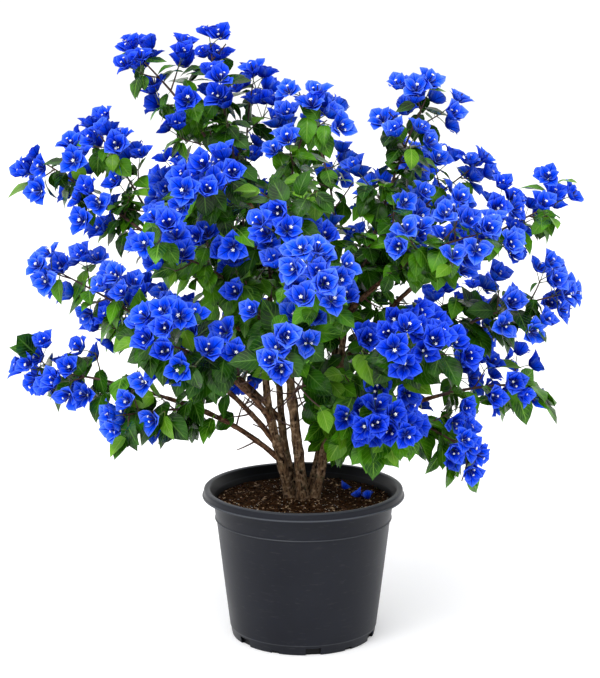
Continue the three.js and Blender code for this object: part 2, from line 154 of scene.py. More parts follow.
key_lamp = in_scene("key lamp", bpy.data.lights.new("key lamp", "AREA"))
key_lamp.data.shape = "DISK"
key_lamp.data.size = KEY_WIDTH
key_lamp.data.energy = KEY_POWER
key_lamp.location = KEY_PLACE
key_lamp.rotation_euler = (Vector(KEY_TARGET) - Vector(KEY_PLACE)).to_track_quat("-Z", "Y").to_euler()
daylight = in_scene("daylight", bpy.data.lights.new("daylight", "SUN"))
daylight.data.energy = DAYLIGHT_STRENGTH
daylight.data.angle = math.radians(DAYLIGHT_SPREAD)
daylight.rotation_euler = [math.radians(angle) for angle in DAYLIGHT_TURN]
print("studio: white sky of strength", SKY_STRENGTH, "with one lamp and a soft daylight")

# %% [markdown]
# ## Finishing a piece
#
# Every piece ends the same way: one plain mesh at the origin that rides on the body "root" and stands for
# some CAD nodes, which are hidden. A short helper does that, so no piece can be forgotten.

# %% Finish helper
made_pieces = []


def mesh_object(name, vertices, faces, smooth=True):
    mesh = bpy.data.meshes.new(name)
    mesh.from_pydata([tuple(v) for v in vertices], [], faces)
    if smooth:
        mesh.shade_smooth()
    return in_scene(name, mesh)


def finish_piece(piece, slot, nodes, material=None):
    if material:
        piece.data.materials.clear()
        piece.data.materials.append(material)
    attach(piece, "root")
    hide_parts(*nodes)
    made_pieces.append(piece)
    piece.data.calc_loop_triangles()
    print(f"{piece.name}: {len(piece.data.loop_triangles)} triangles")


# %% [markdown]
# ## The pot
#
# A nursery pot is blow-moulded or injection-moulded from black polypropylene: a thin tapered wall, a
# stiff collar, a turned-out rim and a foot band with drain notches. Everything but the notches is
# round, so one profile turned about the axis makes it. The notches are cut afterwards with boxes, as in
# the CAD.

# %% Pot sizes and profile
POT_HEIGHT, RIM_RADIUS, BASE_RADIUS, NECK_RADIUS = 223, 150, 108.5, 135
LIP_FOOT, COLLAR_FOOT, FOOT_TOP = 211.5, 177.5, 14
WALL, COLLAR_STEP, FOOT_STEP, POT_FLOOR = 2.5, 1.5, 1, 12


def wall_radius(height):
    return BASE_RADIUS + (NECK_RADIUS - BASE_RADIUS) * height / LIP_FOOT


def inner_radius(height):
    return wall_radius(height) - WALL - COLLAR_STEP


def corners(radius, height, *offsets):
    """Corners of a profile, each written as an offset outwards and upwards from one radius and height."""
    return [(radius + out, height + up) for out, up in offsets]


UNDERSIDE = corners(BASE_RADIUS, 0, (-20, POT_FLOOR - 3), (-17.4, POT_FLOOR - 3.6), (-16, 6), (-15, 0.4),
                    (-14.4, 0), (-4, 0), (-2.4, 0.3), (-1.4, 1), (-1, 2.2))
FOOT_BAND = corners(wall_radius(FOOT_TOP), FOOT_TOP, (-FOOT_STEP, -0.6), (-0.7, 0), (-0.1, 0.7), (0, 2))
LOW_WALL = [(wall_radius(60) - 0.4, 60), (wall_radius(120) - 0.9, 120)]
COLLAR = corners(wall_radius(COLLAR_FOOT), COLLAR_FOOT, (-COLLAR_STEP, -1), (-1.3, -0.1), (0.5, 0.1),
                 (0.9, 0.6), (0.7, 1.2), (-0.4, 2.3)) + [(wall_radius(195) - 0.6, 195)]
LIP = (corners(NECK_RADIUS, LIP_FOOT, (-1.3, -1.6), (-0.7, -0.4), (1, 0))
       + corners(RIM_RADIUS, LIP_FOOT, (-2, -0.3), (-0.6, -0.2), (0, 0.5), (-0.2, 1.4), (-1.2, 2.2),
                 (-1.9, 2.8), (-2.1, 4.2))
       + corners(RIM_RADIUS, POT_HEIGHT, (-2.4, -2.6), (-2.8, -1.1), (-3.6, -0.3), (-5, 0), (-9, 0),
                 (-10.6, -0.5), (-11.8, -1.8), (-13.2, -5)))
INSIDE = (corners(inner_radius(LIP_FOOT), LIP_FOOT, (2.2, 1), (0, -4)) + [(inner_radius(120), 120)]
          + [(inner_radius(POT_FLOOR + 2), POT_FLOOR + 2), (inner_radius(POT_FLOOR) - 2, POT_FLOOR)])
POT_PROFILE = UNDERSIDE + FOOT_BAND + LOW_WALL + COLLAR + LIP + INSIDE
print("the pot's profile has", len(POT_PROFILE), "corners")


# %% Turn the pot on its axis
def turned(profile, segments):
    """Vertices and faces of a closed round solid from a profile in millimetres, bottom middle first."""
    angles = np.arange(segments) * 2 * math.pi / segments
    rings = np.array(profile) * MM
    vertices = [(0, 0, rings[0][1])]
    for radius, height in rings:
        vertices += [(radius * math.cos(a), radius * math.sin(a), height) for a in angles]
    vertices.append((0, 0, rings[-1][1]))
    faces = []
    for j in range(segments):
        after = (j + 1) % segments
        faces.append((0, 1 + after, 1 + j))
        for i in range(len(rings) - 1):
            low, high = 1 + i * segments, 1 + (i + 1) * segments
            faces.append((low + j, low + after, high + after, high + j))
        last = 1 + (len(rings) - 1) * segments
        faces.append((last + j, last + after, len(vertices) - 1))
    return vertices, faces


POT_SEGMENTS = 192
pot = mesh_object("nursery_pot", *turned(POT_PROFILE, POT_SEGMENTS))
print("pot:", len(pot.data.polygons), "faces before the notches")

# %% [markdown]
# The drain notches: six wide ones in the foot, and between them six low ones that only nick the edge.
# Each is one box, and all boxes are joined into a single cutter, so a single Boolean does it all.

# %% Cut the drain notches
NOTCHES = 6
FIRST_NOTCH = -82.4  # degrees, the same start as the CAD's notches
WIDE_NOTCH = (12, 22, 11)  # depth, half of it inside the foot, width and height in millimetres
LOW_NOTCH = (10, 12, 4.5)
SHARP_ANGLE = 38  # degrees between two faces that keep a hard edge


def box_cutters(sizes, first_angle, count):
    vertices, faces = [], []
    depth, width, height = (value * MM for value in sizes)
    for i in range(count):
        angle = math.radians(first_angle + i * 360 / count)
        turn = Matrix.Rotation(angle, 3, "Z")
        start = len(vertices)
        for x in (-depth / 2, depth / 2):
            for y in (-width / 2, width / 2):
                for z in (-height, height):
                    vertices.append(turn @ Vector((BASE_RADIUS * MM + x, y, z)))
        faces += [tuple(start + k for k in quad) for quad in
                  ((0, 1, 3, 2), (4, 6, 7, 5), (0, 4, 5, 1), (2, 3, 7, 6), (0, 2, 6, 4), (1, 5, 7, 3))]
    return vertices, faces


wide = box_cutters(WIDE_NOTCH, FIRST_NOTCH, NOTCHES)
low = box_cutters(LOW_NOTCH, FIRST_NOTCH + 180 / NOTCHES, NOTCHES)
shift = len(wide[0])
cutter = mesh_object("notch_cutter", wide[0] + low[0],
                     wide[1] + [tuple(k + shift for k in quad) for quad in low[1]], smooth=False)
cut = pot.modifiers.new("drain notches", "BOOLEAN")
cut.object = cutter
cut.solver = "EXACT"
evaluated = pot.evaluated_get(bpy.context.evaluated_depsgraph_get())
pot_mesh = bpy.data.meshes.new_from_object(evaluated)
pot.modifiers.clear()
pot.data = pot_mesh
pot_mesh.set_sharp_from_angle(angle=math.radians(SHARP_ANGLE))
bpy.data.objects.remove(cutter)
print("pot:", len(pot_mesh.polygons), "faces after", 2 * NOTCHES, "notches")

# %% [markdown]
# Moulded plastic is never one flat black. It has a faint satin grain, cloudy patches where the surface
# was handled and fine scuffs that run round the wall. The shader mixes two near blacks by a slow noise,
# which also changes the roughness, paints highlights on the rim, the lip, the collar and the foot as pale
# level lines, and presses a shallow bump by a fine noise. The inside is painted darker as shade.

# %% Pot finish
def plain_material(name, colour, roughness, specular):
    material = bpy.data.materials.new(name)
    material.use_nodes = True
    tree = material.node_tree
    shader = tree.nodes["Principled BSDF"]
    shader.inputs["Base Color"].default_value = (*colour, 1)
    shader.inputs["Roughness"].default_value = roughness
    shader.inputs["Specular IOR Level"].default_value = specular
    return material, tree, shader


def object_noise(tree, scale, detail=3, stretch=(1, 1, 1)):
    """A noise on Object coordinates; scale is how many lumps fit in a metre."""
    place = add_node(tree, "ShaderNodeTexCoord")
    mapping = add_node(tree, "ShaderNodeMapping", {"Vector": place.outputs["Object"], "Scale": stretch})
    return add_node(tree, "ShaderNodeTexNoise",
                    {"Vector": mapping.outputs["Vector"], "Scale": scale, "Detail": detail}).outputs[0]


def between(tree, value, low_in, high_in, low_out=0.0, high_out=1.0, smooth=False):
    return add_node(tree, "ShaderNodeMapRange",
                    {"Value": value, "From Min": low_in, "From Max": high_in,
                     "To Min": low_out, "To Max": high_out},
                    interpolation_type="SMOOTHSTEP" if smooth else "LINEAR").outputs[0]


def mixed(tree, factor, first, second):
    """Mixes two colours, each a socket or three numbers."""
    def as_input(colour):
        return colour if isinstance(colour, bpy.types.NodeSocket) else (*colour, 1)
    node = add_node(tree, "ShaderNodeMix", data_type="RGBA", blend_type="MIX")
    for socket, value in ((node.inputs[0], factor), (node.inputs[6], as_input(first)),
                          (node.inputs[7], as_input(second))):
        if isinstance(value, bpy.types.NodeSocket):
            tree.links.new(value, socket)
        else:
            socket.default_value = value
    return node.outputs[2]


def bump(tree, shader, height, strength, distance):
    node = add_node(tree, "ShaderNodeBump", {"Height": height, "Strength": strength, "Distance": distance})
    tree.links.new(node.outputs[0], shader.inputs["Normal"])


# Each row is the height of a painted highlight line, its half width, how strong it is, and the radius that
# it lies outside of.
PAINTED_HIGHLIGHT_LINES = ((POT_HEIGHT - 0.2, 1.4, 0.6, 139), (LIP_FOOT + 1.7, 1.4, 1.0, 143),
              (COLLAR_FOOT + 1.3, 1.1, 0.6, 129), (FOOT_TOP + 1.2, 1.0, 0.3, 105))
INNER_FLARE = 6  # millimetres that the inside opens above the lip's foot


def painted_highlight_line(tree, height, middle, half_width):
    """1 on a level line round the pot where a painted highlight goes, 0 away from it; height is a socket in
    metres.
    """
    off = maths(tree, "ABSOLUTE", maths(tree, "SUBTRACT", height, middle * MM))
    return between(tree, off, 0, half_width * MM, 1, 0, smooth=True)


def depth_inside(tree, height, radius):
    """How far a place lies inside the middle of the wall, in metres; both inputs are sockets."""
    slope = (NECK_RADIUS - BASE_RADIUS) / LIP_FOOT
    halfway = maths(tree, "MULTIPLY_ADD", height, slope, (BASE_RADIUS - WALL) * MM)
    flare = between(tree, height, LIP_FOOT * MM, (LIP_FOOT + 2) * MM, 0, INNER_FLARE * MM)
    return maths(tree, "SUBTRACT", maths(tree, "ADD", halfway, flare), radius)


def pot_material():
    material, tree, shader = plain_material("satin black plastic", (0.0075, 0.0085, 0.013), 0.4, 0.16)
    cloud = between(tree, object_noise(tree, 9, 4), 0.35, 0.7)
    scuff = between(tree, object_noise(tree, 60, 5, (1, 1, 5)), 0.6, 0.78)
    black = mixed(tree, cloud, (0.0056, 0.0066, 0.0110), (0.0096, 0.0110, 0.0166))
    black = mixed(tree, scuff, black, (0.019, 0.02, 0.024))
    here = add_node(tree, "ShaderNodeTexCoord").outputs["Object"]
    height = add_node(tree, "ShaderNodeSeparateXYZ", {"Vector": here}).outputs[2]
    level = add_node(tree, "ShaderNodeVectorMath", {0: here, 1: (1, 1, 0)}, operation="MULTIPLY").outputs[0]
    radius = add_node(tree, "ShaderNodeVectorMath", {0: level}, operation="LENGTH").outputs[1]
    # painted shade: the inside of the wall is mixed towards near black, as the shade inside the pot
    painted_inner_shade = between(tree, depth_inside(tree, height, radius), 0, 0.5 * MM, 0, 0.85)
    black = mixed(tree, painted_inner_shade, black, (0.0012, 0.0013, 0.0018))
    # painted highlights: pale level lines along the edges of the rim, the lip, the collar and the foot
    for middle, half_width, strength, least in PAINTED_HIGHLIGHT_LINES:
        outside = between(tree, radius, (least - 0.5) * MM, least * MM, 0, strength)
        line = maths(tree, "MULTIPLY", painted_highlight_line(tree, height, middle, half_width), outside)
        black = mixed(tree, line, black, (0.085, 0.092, 0.104))
    tree.links.new(black, shader.inputs["Base Color"])
    tree.links.new(between(tree, cloud, 0, 1, 0.36, 0.48), shader.inputs["Roughness"])
    bump(tree, shader, object_noise(tree, 900, 2), 0.12, 0.0004)
    return material


finish_piece(pot, "pot", ["pot"], pot_material())

# %% [markdown]
# ## The potting mix
#
# A bark-based mix is a crumbly brown bed with splinters of bark and a few white perlite grains. The bed
# is a closed round solid like the pot, with enough rings to lift and lower by noise. The crumbs are too
# many to place by hand, so Geometry Nodes scatter a few small shapes over the bed with a fixed seed.

# %% The bed
SOIL_LEVEL, SOIL_DISH, SOIL_FLAT = 206, 2.5, 48  # height in the middle, fall to the wall, level radius
SOIL_RINGS, SOIL_SEGMENTS = 44, 168
SOIL_MIDDLE = 1.5  # radius of the innermost ring
SOIL_GAP = 0.35
SOIL_RELIEF, SOIL_SINK = 3.4, 0.8  # height of the lumps, and how far the whole top sinks
LUMPS = ((95, 1), (230, 0.6), (520, 0.35))  # how many lumps fit in a metre, and their share of the relief
MOUND_HEIGHT, MOUND_WIDTH = 1.5, 32  # round the stems
CALM_EDGE = 4  # the lumps fade out this close to the wall


def soil_height(radius):
    """Height of the bed in millimetres: level in the middle, a little lower at the wall."""
    edge = inner_radius(SOIL_LEVEL) - SOIL_GAP
    return SOIL_LEVEL - SOIL_DISH * max(0, (radius - SOIL_FLAT) / (edge - SOIL_FLAT)) ** 1.3


soil_edge = inner_radius(SOIL_LEVEL - SOIL_DISH) - SOIL_GAP
soil_profile = [(inner_radius(POT_FLOOR) - 3, POT_FLOOR + SOIL_GAP), (soil_edge, SOIL_LEVEL - SOIL_DISH - 2)]
soil_profile += [(r, soil_height(r)) for r in np.linspace(soil_edge, SOIL_MIDDLE, SOIL_RINGS)]
soil = mesh_object("potting_mix", *turned(soil_profile, SOIL_SEGMENTS))
for vertex in soil.data.vertices:
    place = vertex.co
    if place.z > (SOIL_LEVEL - SOIL_DISH - 1) * MM:
        calm = min(1, (soil_edge * MM - math.hypot(place.x, place.y)) / (CALM_EDGE * MM))
        lumps = sum(share * noise.noise(place * scale) for scale, share in LUMPS)
        mound = math.exp(-((place.x**2 + place.y**2) / (MOUND_WIDTH * MM) ** 2))
        vertex.co.z += (SOIL_RELIEF * lumps * calm + MOUND_HEIGHT * mound - SOIL_SINK) * MM


def soil_material():
    material, tree, shader = plain_material("moist bark mix", (0.022, 0.012, 0.007), 0.95, 0.05)
    clump = between(tree, object_noise(tree, 55, 4), 0.35, 0.68)
    crumb = between(tree, object_noise(tree, 240, 3), 0.42, 0.7)
    brown = mixed(tree, clump, (0.0012, 0.0004, 0.0001), (0.024, 0.010, 0.0035))
    tree.links.new(mixed(tree, crumb, brown, (0.10, 0.05, 0.021)), shader.inputs["Base Color"])
    bump(tree, shader, object_noise(tree, 380, 4), 0.8, 0.002)
    return material


finish_piece(soil, "soil", ["soil"], soil_material())

# %% [markdown]
# A tree of Geometry Nodes that scatters needs a mesh to scatter over, the shapes, how many per square
# metre, the smallest and largest size, and a seed. The tree ends in Realize Instances and Set Material,
# so what leaves it is one plain mesh. `baked` then turns the result into a mesh and drops the modifier.

# %% Geometry Nodes helpers
def new_tree(name, sockets):
    """An empty Geometry Nodes tree with named inputs; returns it with its input and output nodes."""
    group = bpy.data.node_groups.new(name, "GeometryNodeTree")
    group.interface.new_socket("Geometry", in_out="INPUT", socket_type="NodeSocketGeometry")
    for socket_name, kind in sockets:
        group.interface.new_socket(socket_name, in_out="INPUT", socket_type=f"NodeSocket{kind}")
    group.interface.new_socket("Geometry", in_out="OUTPUT", socket_type="NodeSocketGeometry")
    return group, group.nodes.new("NodeGroupInput").outputs, group.nodes.new("NodeGroupOutput")


def end_tree(group, geometry, material, output):
    """Realize Instances, then Set Material, then the tree's output."""
    real = add_node(group, "GeometryNodeRealizeInstances", {"Geometry": geometry})
    done = add_node(group, "GeometryNodeSetMaterial", {"Geometry": real.outputs[0], "Material": material})
    group.links.new(done.outputs[0], output.inputs[0])


def baked(name, source, group, values):
    """Runs a tree on a source object and returns the result as a new plain object."""
    modifier = source.modifiers.new(group.name, "NODES")
    modifier.node_group = group
    for item in group.interface.items_tree:
        if item.in_out == "INPUT" and item.name in values:
            modifier[item.identifier] = values[item.name]
    result = source.evaluated_get(bpy.context.evaluated_depsgraph_get())
    mesh = bpy.data.meshes.new_from_object(result)
    mesh.name = name
    source.modifiers.remove(modifier)
    return in_scene(name, mesh)


def shape_collection(name, meshes):
    """A collection with one object for each mesh, for a tree to pick from."""
    collection = bpy.data.collections.new(name)
    bpy.context.scene.collection.children.link(collection)
    for i, mesh in enumerate(meshes):
        collection.objects.link(bpy.data.objects.new(f"{name}_{i}", mesh))
    return collection


def drop_collection(collection):
    for thing in list(collection.objects):
        bpy.data.objects.remove(thing)
    bpy.data.collections.remove(collection)


def mesh_of(name, made):
    """A mesh from a bmesh, which is freed."""
    mesh = bpy.data.meshes.new(name)
    made.to_mesh(mesh)
    made.free()
    return mesh


# %% The scatter tree
def scatter_tree():
    group, given, output = new_tree("scatter crumbs", [
        ("Shapes", "Collection"), ("Per square metre", "Float"), ("Smallest", "Float"),
        ("Largest", "Float"), ("Seed", "Int"), ("Finish", "Material")])
    spots = add_node(group, "GeometryNodeDistributePointsOnFaces", {
        "Mesh": given["Geometry"], "Density": given["Per square metre"], "Seed": given["Seed"]})
    shapes = add_node(group, "GeometryNodeCollectionInfo", {
        "Collection": given["Shapes"], "Separate Children": True, "Reset Children": True})
    turn = add_node(group, "FunctionNodeRandomValue", {"Seed": given["Seed"]}, data_type="FLOAT_VECTOR")
    turn.inputs[0].default_value = (-0.5, -0.5, 0)
    turn.inputs[1].default_value = (0.5, 0.5, 6.28)
    size = add_node(group, "FunctionNodeRandomValue", {"Seed": given["Seed"]}, data_type="FLOAT")
    group.links.new(given["Smallest"], size.inputs[2])
    group.links.new(given["Largest"], size.inputs[3])
    put = add_node(group, "GeometryNodeInstanceOnPoints", {
        "Points": spots.outputs["Points"], "Instance": shapes.outputs[0], "Pick Instance": True,
        "Rotation": turn.outputs[0], "Scale": size.outputs[1]})
    end_tree(group, put.outputs[0], given["Finish"], output)
    return group


# %% Crumb shapes and the scattering
BED_DEPTH, BED_EDGE = 6, 3  # crumbs lie no lower than this and no nearer to the wall, in millimetres
BED_SLOPE = 0.3  # and on no face that is steeper than this


def crumb_mesh(name, length, width, height, seed):
    """A rough splinter one unit long: a stretched, dented icosahedron."""
    made = bmesh.new()
    bmesh.ops.create_icosphere(made, subdivisions=1, radius=0.5)
    for vertex in made.verts:
        dent = 1 + 0.35 * noise.noise(vertex.co * 3 + Vector((seed, 0, 0)))
        vertex.co = Vector((vertex.co.x * length, vertex.co.y * width, vertex.co.z * height)) * dent
    return mesh_of(name, made)


def grained_material(name, colours, gloss, grain, low=0.3, high=0.7):
    """A finish that a noise mixes from the last two colours; gloss is its roughness and specular level."""
    plain, dark, pale = colours
    material, tree, shader = plain_material(name, plain, *gloss)
    share = between(tree, object_noise(tree, *grain), low, high)
    tree.links.new(mixed(tree, share, dark, pale), shader.inputs["Base Color"])
    return material


bed_mesh = bpy.data.meshes.new("bed_top")
bed_faces = [f.vertices[:] for f in soil.data.polygons
             if f.center.z > (SOIL_LEVEL - BED_DEPTH) * MM and f.normal.z > BED_SLOPE
             and math.hypot(f.center.x, f.center.y) < (soil_edge - BED_EDGE) * MM]
bed_mesh.from_pydata([tuple(v.co) for v in soil.data.vertices], [], bed_faces)
bed = in_scene("bed_top", bed_mesh)
scatter = scatter_tree()
splinters = shape_collection("splinter", [
    crumb_mesh(f"splinter_{i}", 1, 0.32 + 0.12 * (i % 3), 0.16 + 0.05 * (i % 2), i * 7.3)
    for i in range(5)])
grains = shape_collection("grain", [
    crumb_mesh(f"grain_{i}", 1, 0.8, 0.7, 40 + i * 5.1) for i in range(3)])

DARK_BARK = ((0.03, 0.016, 0.009), (0.0015, 0.0005, 0.0002), (0.075, 0.031, 0.011))
PALE_BARK = ((0.11, 0.065, 0.04), (0.16, 0.08, 0.035), (0.66, 0.46, 0.28))
PERLITE = ((0.5, 0.46, 0.4), (0.32, 0.28, 0.23), (0.6, 0.56, 0.5))
dark_bark = grained_material("dark bark crumbs", DARK_BARK, (0.9, 0.06), (160, 3))
pale_bark = grained_material("pale bark splinters", PALE_BARK, (0.8, 0.3), (260, 3))
perlite = grained_material("perlite", PERLITE, (0.9, 0.3), (300, 2))
# name, shapes, how many per square metre, smallest and largest in metres, seed, finish
for name, shapes, density, smallest, largest, seed, finish in (
        ("bark_crumbs", splinters, 30000, 0.005, 0.013, 3, dark_bark),
        ("bark_splinters", splinters, 11000, 0.003, 0.009, 8, pale_bark),
        ("perlite_grains", grains, 4800, 0.0012, 0.0032, 5, perlite)):
    crumbs = baked(name, bed, scatter, {"Shapes": shapes, "Per square metre": density, "Smallest": smallest,
                                        "Largest": largest, "Seed": seed, "Finish": finish})
    finish_piece(crumbs, "soil", ["soil"])
bpy.data.objects.remove(bed)
drop_collection(splinters)
drop_collection(grains)

# %% [markdown]
# ## The rule that the bush grows by
#
# The CAD model grows every limb from a few named sizes, and this lesson grows them again by the same rule,
# so that every twig starts on the limb that carries it. A stem is a curve from its foot to its top. A
# branch leaves its parent at a share of the parent's length and ends at a tip given by bearing, rise and
# reach from the crown's heart. Rows are in millimetres and degrees, as a maker would note them down.

# %% Stems and branches
HEART = 400  # height of the crown's heart
# name, foot x, foot y, foot radius, top x, top y, top z, top radius
STEMS = [
    ("stem_left", -20, -4, 7.2, -60, -25, 470, 4.6),
    ("stem_centre", -1, -9, 8.6, -25, -20, 600, 4.2),
    ("stem_right", 16, -3, 7.4, 60, -5, 500, 4.6),
    ("stem_back_left", -11, 16, 6.0, -50, 70, 500, 4.4),
    ("stem_back_right", 9, 17, 6.0, 55, 75, 500, 4.4),
]
# name, parent, leaves at, bearing, rise, reach, bare share, spread of the spray, leafy
BRANCHES = [
    ("low_left", "stem_left", 0.26, 184, 1, 423, 0.5, 74, False),
    ("mid_left", "stem_left", 0.36, 183, 23, 417, 0.48, 80, False),
    ("upper_left", "stem_left", 0.8, 177, 38, 519, 0.48, 76, False),
    ("crest_left", "stem_centre", 0.86, 173, 61, 547, 0.5, 76, False),
    ("top_right", "stem_right", 0.86, 0, 66, 468, 0.4, 84, False),
    ("right_tip", "stem_right", 0.72, 0, 33, 478, 0.48, 80, False),
    ("right_mid", "stem_right", 0.5, 0, 16, 424, 0.5, 82, False),
    ("right_low", "stem_right", 0.28, 9, -5, 393, 0.55, 66, False),
    ("front_right", "stem_right", 0.42, 298, 15, 375, 0.46, 84, False),
    ("front_centre", "stem_centre", 0.56, 274, 26, 402, 0.46, 86, False),
    ("front_left", "stem_left", 0.5, 232, 15, 360, 0.46, 88, False),
    ("front_right_up", "stem_right", 0.92, 324, 35, 395, 0.4, 86, False),
    ("front_left_up", "stem_left", 0.92, 236, 53, 404, 0.4, 84, False),
    ("back_left", "stem_back_left", 0.4, 148, 8, 385, 0.48, 88, False),
    ("back_left_up", "stem_back_left", 0.84, 135, 38, 430, 0.4, 88, False),
    ("back_right", "stem_back_right", 0.42, 36, 8, 390, 0.48, 88, False),
    ("back_right_up", "stem_back_right", 0.84, 48, 44, 430, 0.4, 88, False),
    ("left_top", "upper_left", 0.7, 170, 49, 491, 0, 76, False),
    ("crest", "crest_left", 0.66, 180, 75, 521, 0, 72, False),
    ("top_mid", "stem_centre", 1, 337, 86, 418, 0, 84, False),
    ("top_back_left", "back_left_up", 0.6, 130, 77, 460, 0, 80, False),
    ("right_upper", "back_right_up", 0.7, 20, 46, 430, 0, 76, False),
    ("front_upper", "stem_centre", 0.95, 266, 40, 405, 0, 84, False),
    ("front_low_right", "front_right", 0.55, 300, -10, 285, 0, 76, False),
    ("front_low", "front_centre", 0.55, 263, 12, 352, 0, 76, False),
    ("front_mid_left", "front_left_up", 0.5, 222, 34, 388, 0, 80, False),
    ("low_left_front", "low_left", 0.7, 203, -9, 312, 0, 76, False),
    ("low_right_front", "right_low", 0.6, 343, -28, 318, 0, 72, False),
    ("back_low", "back_left", 0.6, 96, 10, 375, 0, 88, False),
    ("back_top", "stem_back_right", 1, 88, 58, 425, 0, 88, False),
    ("leaves_right", "stem_right", 1, 335, 52, 290, 0, 84, True),
    ("leaves_left", "stem_left", 1, 176, 56, 330, 0, 84, True),
    ("leaves_front", "stem_centre", 0.42, 272, 0, 215, 0, 74, True),
    ("leaves_back", "stem_back_left", 1, 100, 30, 300, 0, 80, True),
    ("leaves_low_back", "stem_back_right", 0.36, 60, -12, 270, 0, 70, True),
    ("leaves_low_right", "stem_right", 0.36, 318, -22, 205, 0, 60, True),
]
print("rows:", len(STEMS), "stems and", len(BRANCHES), "branches")

# %% Directions and curves
UP = np.array([0.0, 0.0, 1.0])


def unit(vector):
    return vector / np.linalg.norm(vector)


def blend(*pairs):
    return unit(sum(np.asarray(vector, float) * share for vector, share in pairs))


def across(direction):
    """Two directions square to the given one: the first level, the second as upright as it can be."""
    level = np.cross(direction, UP)
    if np.linalg.norm(level) < 0.2:
        level = np.array([1.0, 0.0, 0.0]) - direction * direction[0]
    level = unit(level)
    return level, np.cross(level, direction)


def around(direction, angle):
    level, upright = across(direction)
    return blend((level, math.cos(angle)), (upright, math.sin(angle)))


def bend_point(curve, share):
    first, middle, last = curve
    return (1 - share) ** 2 * first + 2 * share * (1 - share) * middle + share**2 * last


def bend_heading(curve, share):
    first, middle, last = curve
    return unit((1 - share) * (middle - first) + share * (last - middle))


def bend_length(curve):
    points = np.array([bend_point(curve, s) for s in np.linspace(0, 1, 60)])
    return float(np.linalg.norm(np.diff(points, axis=0), axis=1).sum())


# %% Limbs from the rows
GAP = 0.35
ROOT_FLARE, FLARE_LENGTH = 1.4, 0.07
STEM_BOW_OUT, STEM_BOW_UP = 0.75, 0.4
SWEEP, CARRY_ON, CONTROL = 0.4, 0.75, 0.45
BOUGH_RADIUS, BOUGH_TIP_RADIUS, THINNER = 4.4, 3.0, 0.85
WANDER = 2.6  # millimetres that a limb strays from its smooth curve between its two ends


def limb_radius(limb, share):
    flare = (ROOT_FLARE - 1) * max(0, 1 - share / FLARE_LENGTH) ** 2 if limb["is_stem"] else 0
    return (limb["radius"] + (limb["tip_radius"] - limb["radius"]) * share) * (1 + flare)


def stray(limb, share):
    """How far a limb leans off its smooth curve: at its foot as far as its parent, at its tip not at all."""
    a, b, c = limb["phases"]
    way = np.array([math.sin(7.3 * share + a), math.sin(6.1 * share + b), 0.4 * math.sin(9.7 * share + c)])
    own = way * WANDER * MM * math.sin(math.pi * share)
    return own + limb["carried"] * (1 - share) ** 2


def limb_point(limb, share):
    return bend_point(limb["curve"], share) + stray(limb, share)


def stem_limb(row, index):
    name, foot_x, foot_y, radius, top_x, top_y, top_z, tip_radius = row
    foot = np.array([foot_x, foot_y, SOIL_LEVEL + GAP]) * MM
    top = np.array([top_x, top_y, top_z]) * MM
    bow = foot + (top - foot) * STEM_BOW_OUT
    bow[2] = foot[2] + STEM_BOW_UP * (top[2] - foot[2])
    return {"name": name, "curve": (foot, bow, top), "radius": radius * MM, "tip_radius": tip_radius * MM,
            "bare": 1, "is_stem": True, "phases": (index, 2.1 * index + 1, 3.3 * index),
            "carried": np.zeros(3), "children": []}


def branch_limb(row, index, limbs):
    name, parent_name, at, bearing, rise, reach, bare, spread, leafy = row
    parent = limbs[parent_name]
    where = parent["bare"] * at
    start = bend_point(parent["curve"], where)
    along = bend_heading(parent["curve"], where)
    b, r = math.radians(bearing), math.radians(rise)
    tip = np.array([reach * math.cos(r) * math.cos(b), reach * math.cos(r) * math.sin(b),
                    HEART + reach * math.sin(r)]) * MM
    span = np.linalg.norm(tip - start)
    to_tip = unit(tip - start)
    from_tip = at == 1
    if from_tip:
        start = start + along * GAP * MM
    follow = CARRY_ON if from_tip else SWEEP
    bow = start + blend((along, follow), (to_tip, 1 - follow)) * CONTROL * span
    radius = min(BOUGH_RADIUS * MM, THINNER * limb_radius(parent, at))
    parent["children"].append((at, radius))
    return {"name": name, "curve": (start, bow, tip), "radius": radius, "tip_radius": BOUGH_TIP_RADIUS * MM,
            "bare": bare, "is_stem": False, "phases": (2.7 * index, index, 1.9 * index),
            "carried": stray(parent, where), "children": [], "spread": spread * MM, "leafy": leafy,
            "index": index, "parent": parent, "from_tip": from_tip}


limbs = {row[0]: stem_limb(row, i) for i, row in enumerate(STEMS)}
branches = []
for i, row in enumerate(BRANCHES):
    branch = branch_limb(row, i, limbs)
    branches.append(branch)
    if branch["bare"] > 0:
        limbs[branch["name"]] = branch
boughs = [limb for limb in limbs.values() if not limb["is_stem"]]
print("limbs:", len(STEMS), "stems,", len(boughs), "boughs and", len(branches), "sprays")

# %% [markdown]
# ## Bark
#
# Old bougainvillea wood is grey brown and ridged: the bark splits lengthways, every old leaf scar leaves a
# knuckle, and the wood swells where a bough leaves. A bent tube with many fine rings can carry all of that
# as real relief. Each ring is drawn square to the curve, and its radius changes by a noise that is read
# round and along the limb, so the ridges run with the wood and meet without a seam.

